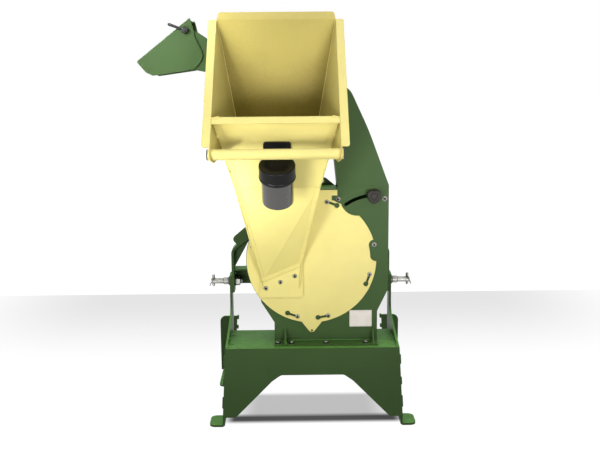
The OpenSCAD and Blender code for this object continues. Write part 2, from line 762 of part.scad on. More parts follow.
cheek_pts = rounded([[-spout_reach - deflector_l, 710], [-spout_reach - deflector_l + 32, 672],
  [-spout_reach - deflector_l + 53, 662], [-spout_reach + 1, 682], [-spout_reach + 38, 726],
  [-spout_reach + 6, 790], [-spout_reach - 9, 857]], [6, 10, 10, 40, 40, 30, 5]);
module deflector_cheeks() {
  color(green) for (y = [front_y - cheek_gap - deflector_t, rear_y + cheek_gap])
    at_axis(y, y + deflector_t) difference() {
      polygon(cheek_pts);
      translate(tilt_pt) circle(5 + run_gap, $fn = 48);
    }
}
module deflector_hood() {
  path = [[-spout_reach - 9, 857], [-spout_reach - deflector_l, 710], [-spout_reach - deflector_l + 32, 672]];
  color(green) at_axis(front_y - cheek_gap, rear_y + cheek_gap) difference() {
    polygon(band(path, deflector_t));
    translate([-spout_reach - 60, 857 - 6]) square([120, 40]);
  }
}
module deflector_pivots() {
  z = axis_z + tilt_pt[1];
  x = tilt_pt[0];
  y = front_y - cheek_gap - deflector_t;
  color(zinc) {
    bar([x, y - 22, z], [x, front_in + 8, z], 5);
    hex_head(x, front_in + 7, z, 9, 6.5);
    bar([x, y - face_gap - 2, z], [x, y - face_gap, z], 12);
    bar([x, y + deflector_t + face_gap, z], [x, front_y, z], 10);
    bar([x, rear_in - 8, z], [x, rear_y + cheek_gap + deflector_t + 10, z], 5);
    hex_head(x, rear_in, z, 9, 6.5);
    bar([x, rear_y, z], [x, rear_y + cheek_gap - face_gap, z], 10);
    hex_head(x, rear_y + cheek_gap + deflector_t + face_gap + 8, z, 9, 8);
  }
}
lever_hub_r = 11;
module clamp_lever() {
  y = front_y - cheek_gap - deflector_t - 3;
  z = axis_z + tilt_pt[1];
  x = tilt_pt[0];
  rod = [-cos(20), 0, sin(20)];
  color(black) difference() {
    union() {
      bar([x, y, z], [x, y - 17, z], lever_hub_r);
      bar([x, y - 10, z], [x, y - 10, z] + lever_l * rod, 4.5, 48);
    }
    bar([x, y + 1, z], [x, y - 20, z], 5 + run_gap);
  }
}

// Rotor

disc_y = front_y + anvil_t + 16;
knife_n = 2;
knife_a = 30;
module about_axis(y0, y1, r, sides = 180) {
  translate([0, y1, axis_z]) rotate([90, 0, 0]) cylinder(h = y1 - y0, r = r, $fn = sides);
}
module rotor_disc() {
  color(steel) at_axis(disc_y, disc_y + disc_t) difference() {
    circle(disc_r, $fn = 180);
    circle(shaft_r + run_gap);
    for (i = [0:knife_n - 1]) rotate(knife_a + 180 * i) translate([62, 8]) square([128, 16]);
    for (i = [0:knife_n - 1]) rotate(knife_a + 180 * i) for (x = [84, 126, 168])
      translate([x, -18]) circle(5 + hole_gap, $fn = 48);
    for (i = [0:3]) rotate(45 + 90 * i) translate([36, 0]) circle(5 + hole_gap, $fn = 48);
  }
}
module rotor_shaft() {
  hub_l = 34;
  spline_l = 55;
  color(steel) difference() {
    union() {
      about_axis(disc_y - 6, disc_y + disc_t + 1, shaft_r);
      about_axis(disc_y + disc_t, disc_y + disc_t + 12, 52);
      about_axis(disc_y + disc_t, disc_y + disc_t + hub_l, 26);
      about_axis(disc_y + disc_t, shaft_rear - spline_l - 6, shaft_r);
      about_axis(shaft_rear - spline_l - 7, shaft_rear - spline_l, shaft_r - 2.5);
      about_axis(shaft_rear - spline_l - 1, shaft_rear, spline_r);
    }
    for (i = [0:5]) translate([0, 0, axis_z]) rotate([0, 60 * i, 0])
      block([-4.3, shaft_rear - 42, spline_r - 2.8], [4.3, shaft_rear + 1, spline_r + 3]);
    for (i = [0:3]) translate([0, 0, axis_z]) rotate([0, 45 + 90 * i, 0])
      bar([36, disc_y - 1, 0], [36, disc_y + disc_t + 13, 0], 5 + hole_gap);
  }
}
module chipper_knives() {
  color("#b0b0b0") for (i = [0:knife_n - 1]) translate([0, 0, axis_z]) rotate([0, -knife_a - 180 * i, 0])
    difference() {
      translate([60, 0, 0]) plank(0, 132) polygon([[disc_y, -34], [disc_y, 6], [disc_y - 11, 12],
        [disc_y - 9, -34]]);
      for (x = [84, 126, 168]) bar([x, disc_y - 20, -18], [x, disc_y + 1, -18], 5 + hole_gap);
    }
}
module rotor_bolts() {
  color(steel) for (i = [0:knife_n - 1]) translate([0, 0, axis_z]) rotate([0, -knife_a - 180 * i, 0])
    for (x = [84, 126, 168]) {
      bar([x, disc_y - 8, -18], [x, disc_y + disc_t + 9, -18], 5);
      translate([x, disc_y + disc_t + 8, -18]) rotate([90, 0, 0]) cylinder(h = 8, r = 9, $fn = 6);
    }
  color(steel) for (i = [0:3]) translate([0, 0, axis_z]) rotate([0, 45 + 90 * i, 0]) {
    bar([36, disc_y - 3, 0], [36, disc_y + disc_t + 22, 0], 5);
    translate([36, disc_y, 0]) rotate([90, 0, 0]) cylinder(h = 6.4, r = 9, $fn = 6);
    translate([36, disc_y + disc_t + 20, 0]) rotate([90, 0, 0]) cylinder(h = 8, r = 9, $fn = 6);
  }
}
module fan_paddles() {
  paddle_d = rear_in - 8 - disc_y - disc_t;
  color(steel) for (i = [0:paddle_n - 1]) translate([0, 0, axis_z])
    rotate([0, -knife_a - 60 - 360 / paddle_n * i, 0]) {
      block([96, disc_y + disc_t, -4], [disc_r - 4, disc_y + disc_t + paddle_d, 4]);
      block([100, disc_y + disc_t, 4], [disc_r - 10, disc_y + disc_t + 6, 26]);
    }
}

carrier_l = 118;
carrier_r = bearing_r + 12;
module bearing_carrier() {
  y0 = rear_y;
  y1 = rear_y + carrier_l;
  color(green) difference() {
    union() {
      about_axis(y0, y0 + 10, 78);
      about_axis(y0, y1, carrier_r);
    }
    about_axis(y0 - 1, y0 + bearing_w + 5, bearing_r);
    about_axis(y1 - bearing_w - 5, y1 + 1, bearing_r);
    about_axis(y0, y1, bearing_r - 6);
    for (i = [0:3]) translate([0, 0, axis_z]) rotate([0, 45 + 90 * i, 0])
      bar([carrier_bolt_r, y0 - 1, 0], [carrier_bolt_r, y0 + 11, 0], 4 + hole_gap);
  }
}
module bearings() {
  color(steel) for (y = [rear_y + 5, rear_y + carrier_l - bearing_w - 5])
    translate([0, y + bearing_w, axis_z]) rotate([90, 0, 0]) difference() {
      cylinder(h = bearing_w, r = bearing_r);
      translate([0, 0, -1]) cylinder(h = bearing_w + 2, r = shaft_r + run_gap);
      for (z = [-1, bearing_w - 2]) translate([0, 0, z]) difference() {
        cylinder(h = 3, r = bearing_r - 5);
        translate([0, 0, -1]) cylinder(h = 5, r = shaft_r + 5);
      }
    }
}
module carrier_pedestal() {
  top = axis_z;
  low = beam_top;
  color(green) difference() {
    for (y = [-tower_fwd + 8, tower_back - 34]) slab(y, y + beam_t + 2)
      polygon([[-62, low], [62, low], [40, top - 20], [-40, top - 20]]);
    about_axis(-200, 200, carrier_r + slack / 2);
  }
}
module pto_guard() {
  y0 = rear_y + carrier_l;
  color(black) translate([0, 0, axis_z]) rotate([-90, 0, 0]) rotate_extrude($fn = 96)
    polygon([[carrier_r - 14, y0 + slack], [carrier_r + 2, y0 + slack], [carrier_r + 8, y0 + 10],
      [76, y0 + 70], [82, shaft_rear + 16], [79, shaft_rear + 16], [73, y0 + 71],
      [carrier_r + 5, y0 + 13], [carrier_r - 14, y0 + 4]]);
}

// Cover, its bolts and the anvil

notch_a = 13;
throat_out = 195;
throat_in = 44;
// A point r from the axis along the anvil's edge and p below it
function anvil_pt(r, p) = [-r * cos(anvil_angle) + p * sin(anvil_angle),
  -r * sin(anvil_angle) - p * cos(anvil_angle)];
anvil_bolts = [for (r = [79, 136.5, 194]) anvil_pt(r, 30.5)];
hopper_x = -hopper_off;
cover_top = housing_top - 3;
module throat_outline() {
  intersection() {
    polygon([anvil_pt(throat_out - 3, 0), anvil_pt(throat_in + 3, 0),
      [hopper_x + half_at(rear_foot) - 6, cover_top], [hopper_x - half_at(rear_foot) + 6, cover_top]]);
    circle(port_r - 11, $fn = 180);
  }
}
module cover_outline() {
  difference() {
    union() {
      circle(cover_r, $fn = 180);
      translate([-left_side, 0]) square([left_side + outlet_in - 1, cover_top]);
      polygon(rounded([[-46, -222], [0, -282], [46, -222]], [0, 14, 0]));
    }
    translate([0, -267]) circle(4.25, $fn = 48);
    for (a = bolt_angles) {
      arc_slot(cover_bolt_r, 9, a - cover_turn, a);
      translate(polar(cover_bolt_r, a - cover_turn)) circle(button_r + 0.9, $fn = 64);
    }
    intersection() {
      arc_slot(norm(pivot_pt), 40, notch_a - cover_turn, notch_a);
      circle(2 * cover_r);
    }
    translate([167, 222]) circle(62, $fn = 96);
    translate(tie_pts[0]) polygon([[-23, 14], [-23, -4.5], [-17, -4.5], [15, -19.8], [33, -19.8], [33, 14]]);
    throat_outline();
    for (p = anvil_bolts) translate(p) circle(5 + hole_gap, $fn = 48);
  }
}
module cover_plate() {
  color(cream) at_axis(cover_y, front_y - face_gap) cover_outline();
}
module cover_bolts() {
  color(zinc) for (a = bolt_angles) {
    p = polar(cover_bolt_r, a);
    z = axis_z + p[1];
    button_head(p[0], cover_y - face_gap, z);
    bar([p[0], cover_y - face_gap - 0.5, z], [p[0], front_in + 6, z], 4, 48);
  }
}
module anvil() {
  color(steel) at_axis(front_y - face_gap, front_y - face_gap + anvil_t) difference() {
    polygon([anvil_pt(throat_in, 0), anvil_pt(throat_out + 9, 0), anvil_pt(throat_out + 9, anvil_w),
      anvil_pt(throat_in, anvil_w)]);
    for (p = anvil_bolts) translate(p) circle(5 + hole_gap, $fn = 48);
  }
}
flange_top = 2.4;
flange_in = 34;
flange_out = 206;
flange_low = -139;
module throat_flange() {
  color(cream) at_axis(cover_y - cover_t, cover_y) difference() {
    polygon(rounded([anvil_pt(flange_in, flange_top), anvil_pt(flange_out, flange_top),
      [anvil_pt(flange_out, 0)[0], flange_low], [anvil_pt(flange_in, 0)[0], flange_low]], [4, 4, 5, 10]));
    for (p = anvil_bolts) translate(p) circle(5 + hole_gap, $fn = 48);
  }
}
module throat_bolts() {
  color(zinc) for (p = anvil_bolts) {
    button_head(p[0], cover_y - cover_t, axis_z + p[1]);
    bar([p[0], cover_y - cover_t - 0.5, axis_z + p[1]],
        [p[0], front_y - face_gap + anvil_t - 1, axis_z + p[1]], 5, 48);
  }
}

// Hopper. Its side view is drawn in Y and Z; s runs down the mouth and d into the hopper

along = [-sin(mouth_tilt), -cos(mouth_tilt)];
into = [cos(mouth_tilt), -sin(mouth_tilt)];
mouth_top = [front_y - mouth_fwd, axis_z + mouth_rise];
function side_pt(s, d) = mouth_top + s * along + d * into;
function half_at(p) = mouth_w / 2 - wall_taper * ((p - mouth_top) * into);
// The point p of the side view, on the inner face of the wall on the given side
function on_wall(p, side) = [hopper_x + side * half_at(p), p[0], p[1]];
rear_foot = [cover_y - hopper_t, axis_z + cover_top];
fold = side_pt(mouth_l + 99, 255);
lip = side_pt(mouth_l, 0);
front_dir = unit(fold - lip);
front_out = [front_dir[1], -front_dir[0]];
throat_l = [anvil_pt(throat_out, 0)[0], cover_y, axis_z + anvil_pt(throat_out, 0)[1]];
throat_r = [anvil_pt(throat_in, 0)[0], cover_y, axis_z + anvil_pt(throat_in, 0)[1]];
handle_s = mouth_l + 129;
handle_d = 21;
handle_yz = side_pt(handle_s, handle_d);

// Places a drawing in the plane of the mouth: X across, then down along the mouth, then inwards
module in_mouth() {
  multmatrix([[1, 0, 0, hopper_x], [0, along[0], into[0], mouth_top[0]],
              [0, along[1], into[1], mouth_top[1]], [0, 0, 0, 1]]) children();
}
tab_s = handle_s + 33;
module hopper_wall(side) {
  tab = rounded([side_pt(0, 0), side_pt(tab_s, 0), side_pt(tab_s - 20, 46),
    lip + gusset_l * front_dir + seam_lip * front_out, fold + seam_lip * front_out, rear_foot],
    [0, 16, 7, 12, 0, 0]);
  sheet([for (p = side > 0 ? tab : reversed(tab)) on_wall(p, side)], hopper_t);
}
module hopper_side(side) {
  difference() {
    union() {
      hopper_wall(side);
      in_mouth() linear_extrude(hopper_t) polygon(rounded([
        [side * (mouth_w / 2 + hopper_t / 3), 0.5], [side * (mouth_w / 2 + side_flange), 0.5],
        [side * (mouth_w / 2 + side_flange), handle_s - 14],
        [side * (mouth_w / 2 + hopper_t / 3), handle_s - 14]],
        [0, 8, 9, 0]));
    }
    bar([hopper_x, handle_yz[0], handle_yz[1]], [hopper_x + side * mouth_w, handle_yz[0], handle_yz[1]],
        handle_r + hole_gap);
  }
}
module hopper_left() {
  color(cream) hopper_side(-1);
}
module hopper_right() {
  color(cream) hopper_side(1);
}
// Space between the side walls' inner faces, in which the front and rear walls lie
module between_walls() {
  far = 700;
  reach = 60;
  a = [for (q = [[-reach, -reach], [far, -reach], [far, far], [-reach, far]]) side_pt(q[0], q[1])];
  intersection() {
    sheet([for (p = reversed(a)) on_wall(p, 1) - [slack, 0, 0]], 600);
    sheet([for (p = a) on_wall(p, -1) + [slack, 0, 0]], 600);
  }
}
module hopper_rear() {
  color(cream) {
    intersection() {
      plank(hopper_x - mouth_w, hopper_x + mouth_w)
        polygon(band([rear_foot, mouth_top], -hopper_t));
      between_walls();
    }
    in_mouth() linear_extrude(hopper_t)
      polygon(rounded([[-mouth_w / 2 + 5, -top_flange], [mouth_w / 2 - 5, -top_flange],
        [mouth_w / 2 - slack, 0], [-mouth_w / 2 + slack, 0]], [12, 12, 0, 0]));
  }
}
module hopper_front() {
  color(cream) {
    intersection() {
      plank(hopper_x - mouth_w, hopper_x + mouth_w)
        polygon(band([fold - 2 * slack * front_dir, lip], hopper_t));
      between_walls();
    }
    lip_w = mouth_w - 2 * (slack + wall_taper * hopper_t);
    in_mouth() translate([-lip_w / 2, mouth_l, 0]) cube([lip_w, lip_flange, hopper_t]);
  }
}
// Lower funnel, from the fold down to the anvil's edge
seam = [3 * slack, 0, 0];
module funnel_front() {
  color(cream) sheet([on_wall(fold, -1), throat_l, on_wall(fold, 1) - 2 * seam], hopper_t);
}
module funnel_facet() {
  color(cream) sheet([on_wall(fold, 1) - seam, throat_l, throat_r - seam], hopper_t);
}
// The corner q of a sheet, moved out past the front edge a-b and away from the rear corner c
function past(q, a, b, c) = let(e = unit(b - a), w = (a - c) - ((a - c) * e) * e) q + seam_lip * unit(w);
// The way forward from the cover in the plane of the side sheet a, b, c, for each millimetre of it
function forward(a, b, c) = let(w = unit(b - c), q = unit((a - c) - ((a - c) * w) * w)) q / abs(q[1]);
foot_gap = 0.8;
// The fin in which a side sheet ends, l long, from its throat corner b down the flange's face; it
// starts where the sheet's lip is fin_w in front of the cover
fin_w = cover_t + 8;
function fin(a, b, c, l) = let(w = unit(b - c), v = forward(a, b, c), foot = cover_t + slack + foot_gap,
  lip_end = past(b, a, b, c), e = unit(a - b), u = unit(v),
  t = (fin_w * norm(v) - (lip_end - b) * u) / (e * u))
  [lip_end + t * e, b + (l - 18) * w + fin_w * v, b + l * w + (foot + 1) * v, b + foot * v,
   b + foot_gap * v];
// A relief in the left sheet's foot, over the bolt that passes under it when the cover is turned
relief_low = polar(cover_bolt_r, bolt_angles[4] - cover_turn)[1] - 28;
relief_l = 44;
relief_h = button_h + 2.5;
function relief(a, b, c) = let(w = unit(c - b), v = forward(a, b, c), s = (axis_z + relief_low - b[2]) / w[2])
  [b + (s + relief_l) * w + foot_gap * v, b + (s + relief_l) * w + relief_h * v, b + s * w + relief_h * v,
   b + s * w + foot_gap * v];
module funnel_left() {
  a = on_wall(fold, -1);
  c = on_wall(rear_foot, -1);
  color(cream) difference() {
    sheet(concat([past(a, a, throat_l, c), a + 2 * slack * unit(throat_l - a),
      c + foot_gap * forward(a, throat_l, c)], relief(a, throat_l, c),
      reversed(fin(a, throat_l, c, 32))), hopper_t);
    hopper_wall(-1);
  }
}
module funnel_right() {
  a = on_wall(fold, 1);
  c = on_wall(rear_foot, 1);
  color(cream) difference() {
    sheet(concat(fin(a, throat_r, c, 86), [c + foot_gap * forward(a, throat_r, c),
      a + 2 * slack * unit(throat_r - a), past(a, a, throat_r, c)]), hopper_t);
    hopper_wall(1);
  }
}

module handle_tube() {
  color(cream) difference() {
    bar([hopper_x - handle_l / 2, handle_yz[0], handle_yz[1]],
        [hopper_x + handle_l / 2, handle_yz[0], handle_yz[1]], handle_r);
    bar([hopper_x - handle_l / 2 - 1, handle_yz[0], handle_yz[1]],
        [hopper_x + handle_l / 2 + 1, handle_yz[0], handle_yz[1]], handle_r - 2.6);
  }
}
module handle_plugs() {
  color(black) for (side = [-1, 1]) {
    end = hopper_x + side * handle_l / 2;
    bar([end, handle_yz[0], handle_yz[1]], [end + side * 4, handle_yz[0], handle_yz[1]], handle_r);
    bar([end - side * 16, handle_yz[0], handle_yz[1]], [end, handle_yz[0], handle_yz[1]], handle_r - 2.7);
  }
}

// Document tube, parallel to the front wall and held off it by its bracket
bracket_t = 6;
bracket_l = 172;
doc_x = hopper_x + 2;
bracket_s = -42;     // upper end of the bracket, from the cap's end
cap_gap = 2.5;
cap_r = doc_r + 8;
cap_l = 50;
doc_off = bracket_t + cap_r + cap_gap;
doc_s = 133;         // from the feeding lip to the cap's end, along the front wall
doc_top = lip + front_dir * doc_s + front_out * (hopper_t + doc_off);
module doc_frame(from) {
  p = doc_top + front_dir * from;
  translate([doc_x, p[0], p[1]])
    multmatrix([[1, 0, 0, 0], [0, front_out[0], front_dir[0], 0], [0, front_out[1], front_dir[1], 0],
                [0, 0, 0, 1]]) children();
}
module document_tube() {
  color(black) doc_frame(5) difference() {
    cylinder(h = doc_l - 5, r = doc_r);
    translate([0, 0, -1]) cylinder(h = doc_l - 5 - doc_t + 1, r = doc_r - doc_t);
  }
}
module document_tube_cap() {
  color(black) doc_frame(0) difference() {
    cylinder(h = cap_l, r = cap_r);
    translate([0, 0, 4.5]) cylinder(h = cap_l, r = doc_r + 0.4);
    translate([0, 0, -1]) cylinder(h = 3, r = cap_r - 22);
  }
}
module document_tube_bracket() {
  tab_w = 89;
  color(black) doc_frame(0) {
    translate([0, bracket_t - doc_off, 0]) rotate([90, 0, 0]) linear_extrude(bracket_t)
      polygon(rounded([[-tab_w / 2, bracket_s], [tab_w / 2, bracket_s], [tab_w / 2, bracket_s + bracket_l],
        [-tab_w / 2, bracket_s + bracket_l]], [9, 9, 9, 9]));
    difference() {
      translate([-tab_w / 2 + 10, -doc_off + bracket_t, cap_l + 6])
        cube([tab_w - 20, doc_off - bracket_t - 12, bracket_l + bracket_s - cap_l - 12]);
      translate([0, 0, -100]) cylinder(h = 400, r = doc_r + 0.1);
    }
  }
}

base_top_plate();
base_front_apron();
base_side_left();
base_side_right();
base_rear_beam();
mast_left();
mast_right();
mast_bridge();
hitch_crossbeam();
lower_link_pin_left();
lower_link_pin_right();
lower_link_nuts();
linchpin_left();
linchpin_right();
linchpin_ring_left();
linchpin_ring_right();
housing_front_sheet();
housing_rear_sheet();
housing_rim();
scroll_floor();
housing_foot_flange();
housing_bolts();
rating_plate();
spout_front_sheet();
spout_rear_sheet();
spout_outer_strip();
spout_inner_strip();
damper_flap();
damper_knob();
deflector_cheeks();
deflector_hood();
deflector_pivots();
clamp_lever();
rotor_disc();
rotor_shaft();
chipper_knives();
rotor_bolts();
fan_paddles();
bearing_carrier();
bearings();
carrier_pedestal();
pto_guard();
cover_plate();
cover_bolts();
anvil();
throat_flange();
throat_bolts();
funnel_front();
funnel_facet();
funnel_left();
funnel_right();
hopper_front();
hopper_rear();
hopper_left();
hopper_right();
handle_tube();
handle_plugs();
document_tube();
document_tube_cap();
document_tube_bracket();
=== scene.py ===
# Tractor-mounted chipper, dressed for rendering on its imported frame.
# Sizes are in metres unless a note says mm.
import json
from math import radians, sin, cos
import bmesh
import bpy
import numpy as np
from mathutils import Matrix, Vector


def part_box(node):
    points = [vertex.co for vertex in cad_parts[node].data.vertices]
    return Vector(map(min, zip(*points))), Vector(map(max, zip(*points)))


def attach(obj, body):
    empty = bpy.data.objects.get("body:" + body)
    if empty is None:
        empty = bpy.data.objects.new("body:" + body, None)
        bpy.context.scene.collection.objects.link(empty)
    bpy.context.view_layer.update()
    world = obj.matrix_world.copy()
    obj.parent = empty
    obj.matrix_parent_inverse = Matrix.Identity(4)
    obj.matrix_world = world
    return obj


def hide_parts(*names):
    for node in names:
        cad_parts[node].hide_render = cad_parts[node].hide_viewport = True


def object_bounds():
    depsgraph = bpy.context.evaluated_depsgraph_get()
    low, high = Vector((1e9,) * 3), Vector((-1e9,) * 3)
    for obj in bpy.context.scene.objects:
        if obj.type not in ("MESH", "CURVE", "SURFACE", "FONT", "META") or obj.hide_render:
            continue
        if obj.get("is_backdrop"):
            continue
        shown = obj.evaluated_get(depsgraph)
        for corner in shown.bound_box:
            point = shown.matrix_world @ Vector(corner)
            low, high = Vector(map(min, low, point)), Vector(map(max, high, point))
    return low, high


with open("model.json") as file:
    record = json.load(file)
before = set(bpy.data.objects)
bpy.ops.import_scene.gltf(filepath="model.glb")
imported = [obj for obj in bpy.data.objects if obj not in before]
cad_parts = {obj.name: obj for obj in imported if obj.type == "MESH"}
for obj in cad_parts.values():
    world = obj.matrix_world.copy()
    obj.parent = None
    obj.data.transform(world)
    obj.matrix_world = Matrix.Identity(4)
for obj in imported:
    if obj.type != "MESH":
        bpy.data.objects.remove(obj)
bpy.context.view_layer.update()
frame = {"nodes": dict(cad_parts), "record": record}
print("frame loaded:", len(frame["nodes"]), "nodes")


photoCamera = {"place": (-0.0586, -3.084, 1.238), "tiltDown": 10.1, "yawRight": 0.36, "rollRight": 0.5,
               "lens": 48.0, "sensor": 36.0}


def addCamera(c):
    data = bpy.data.cameras.new("photoCamera")
    data.lens, data.sensor_width = c["lens"], c["sensor"]
    camera = bpy.data.objects.new("photoCamera", data)
    turn = (Matrix.Rotation(-radians(c["yawRight"]), 3, "Z")
            @ Matrix.Rotation(radians(90 - c["tiltDown"]), 3, "X")
            @ Matrix.Rotation(-radians(c["rollRight"]), 3, "Z"))
    camera.matrix_world = Matrix.Translation(c["place"]) @ turn.to_4x4()
    bpy.context.scene.collection.objects.link(camera)
    bpy.context.scene.camera = camera


addCamera(photoCamera)
bpy.context.scene.view_settings.view_transform = "Standard"


class Wire:
    # one value in a finish's tree: sums and products of wires become its Math nodes
    def __init__(self, finish, socket):
        self.finish, self.socket = finish, socket

    def maths(self, operation, *values):
        return self.finish.add("ShaderNodeMath", {"operation": operation}, dict(enumerate(values)))

    def __add__(self, other):
        return self.maths("ADD", self, other)

    def __sub__(self, other):
        return self.maths("SUBTRACT", self, other)

    def __rsub__(self, other):
        return self.maths("SUBTRACT", other, self)

    def __mul__(self, other):
        return self.maths("MULTIPLY", self, other)

    __radd__, __rmul__ = __add__, __mul__

    def between(self, low, high):     # 0 below low, 1 above high, smooth from one to the other
        return self.finish.add("ShaderNodeMapRange", {"interpolation_type": "SMOOTHSTEP"},
                               {"Value": self, "From Min": low, "From Max": high})


class Finish:
    # a material under construction; add() makes a node from its type, its settings and its sockets' values
    def __init__(self, name):
        self.material = bpy.data.materials.new(name)
        self.material.use_nodes = True
        self.material.node_tree.nodes.clear()
        self.place = self.add("ShaderNodeTexCoord", {}, {}, "Object")

    def add(self, kind, settings, values, out=0):
        tree = self.material.node_tree
        node = tree.nodes.new(kind)
        for name, value in settings.items():
            setattr(node, name, value)
        for name, value in values.items():
            if isinstance(value, Wire):
                tree.links.new(value.socket, node.inputs[name])
            else:
                node.inputs[name].default_value = value
        return Wire(self, node.outputs[out])

    def noise(self, scale, detail=3.0, roughness=0.5, stretch=(1, 1, 1)):
        where = self.add("ShaderNodeMapping", {}, {"Vector": self.place, "Scale": stretch})
        return self.add("ShaderNodeTexNoise", {}, {"Vector": where, "Scale": scale, "Detail": detail,
                                                   "Roughness": roughness})

    def cells(self, scale):           # how far each point is from the middle of its cell
        return self.add("ShaderNodeTexVoronoi", {}, {"Vector": self.place, "Scale": scale}, "Distance")

    def mixed(self, share, first, second):
        return self.add("ShaderNodeMix", {"data_type": "RGBA"}, {"Factor": share, 6: first, 7: second}, 2)

    def parts(self, vector):
        return [self.add("ShaderNodeSeparateXYZ", {}, {0: vector}, i) for i in range(3)]

    def corners(self, reach, low=0.25, high=0.85):    # 1 deep in a corner or socket, 0 in the open
        open_ = self.add("ShaderNodeAmbientOcclusion", {"samples": 6}, {"Distance": reach}, "AO")
        return 1 - open_.between(low, high)

    def normal(self):
        return self.add("ShaderNodeNewGeometry", {}, {}, "Normal")

    def facing(self):                 # how far the surface faces up, 0 to 1
        return self.parts(self.normal())[2].between(0.25, 0.95)

    def edges(self, radius):          # 1 on sharp edges, and the rounded normal that finds them
        soft = self.add("ShaderNodeBevel", {"samples": 4}, {"Radius": radius})
        alike = self.add("ShaderNodeVectorMath", {"operation": "DOT_PRODUCT"}, {0: soft, 1: self.normal()},
                         "Value")
        return (1 - alike).between(0.01, 0.12), soft

    def surface(self, shader):
        out = self.material.node_tree.nodes.new("ShaderNodeOutputMaterial")
        self.material.node_tree.links.new(shader.socket, out.inputs["Surface"])
        return self.material

    def done(self, baseColour, **sockets):
        return self.surface(self.add("ShaderNodeBsdfPrincipled", {}, {"Base Color": baseColour, **sockets}))


def rgb(red, green, blue):            # a colour as read in a picture, 0 to 255, made linear
    linear = [((c / 255 + 0.055) / 1.055) ** 2.4 if c > 10 else c / 255 / 12.92 for c in (red, green, blue)]
    return (*linear, 1.0)


# the corner amount and reach: how much dirt and painted shade, and how far from a corner; the top amount and
# even: how much dusting and painted top light, and how evenly spread
# the green's up-facing colour is a painted top light, brighter and greener than its own colour
greenEnamel = {"colour": (64, 90, 48), "dustAndToplitColour": (116, 182, 86), "primer": (120, 104, 84),
               "grimeAndShadeColour": (44, 60, 34), "roughness": 0.40, "gloss": 0.12, "coat": 0.03, "coatRoughness": 0.15,
               "grain": 650.0, "grainDepth": 0.00006, "edge": 0.0016, "wear": 0.7, "shade": 0.94,
               "grimeAndShadeAmount": 0.35, "reach": 0.05, "cloudy": 0.4, "dustAndToplit": 0.85, "even": 0.7}
creamEnamel = dict(greenEnamel, colour=(238, 224, 138), dustAndToplitColour=(222, 208, 132), primer=(176, 160, 112),
                   grimeAndShadeColour=(168, 148, 74), gloss=0.3, edge=0.0014, grimeAndShadeAmount=0.4, reach=0.04, dustAndToplit=0.3, even=0.0)
# the hopper's inside: a dark corner mark that reaches far, painted shade together with wood staining
hopperShadeAndStainEnamel = dict(creamEnamel, grimeAndShadeColour=(112, 98, 18), grimeAndShadeAmount=0.75, reach=0.9, cloudy=0.1)
# the rear wall's inside is darker still: painted shade
rearShadeAndStainEnamel = dict(hopperShadeAndStainEnamel, colour=(210, 193, 104), grimeAndShadeAmount=1.1)
zincPlate = {"colour": (186, 186, 182), "tint": (150, 146, 130), "hollowShade": (14, 14, 16), "roughness": 0.26}
groundSteel = {"colour": (150, 150, 150), "tint": (112, 98, 84), "hollowShade": (60, 56, 52), "roughness": 0.34}
# a dark steel for the screws' sockets and the pivot in the lever's hub: painted shade in recesses
recessShadeSteel = {"colour": (58, 57, 58), "tint": (42, 41, 40), "hollowShade": (30, 30, 30), "roughness": 0.4}
blackPlastic = {"colour": (16, 16, 18), "scuffed": (44, 44, 46), "roughness": 0.30, "gloss": 0.5}
drawnPlastic = {"colour": (50, 49, 46), "scuffed": (56, 54, 50), "roughness": 0.16, "gloss": 1.0}
capPlastic = {"colour": (11, 10, 10), "scuffed": (20, 19, 18), "roughness": 0.36, "gloss": 0.2}
brownPlastic = {"colour": (36, 32, 27), "scuffed": (54, 48, 42), "roughness": 0.5, "gloss": 0.3}
blankPlate = {"paper": (240, 232, 222), "aged": (218, 206, 194), "ink": (158, 152, 146),
              "frame": (120, 116, 112), "roughness": 0.35, "left": 0.139, "right": 0.221,
              "low": 0.357, "high": 0.419, "rows": 7, "rowTop": 0.402, "rowFoot": 0.006,
              "ruleMargin": 0.005, "leftRule": 0.029, "rightRule": 0.019, "frameOut": 0.0022, "frameIn": 0.003}


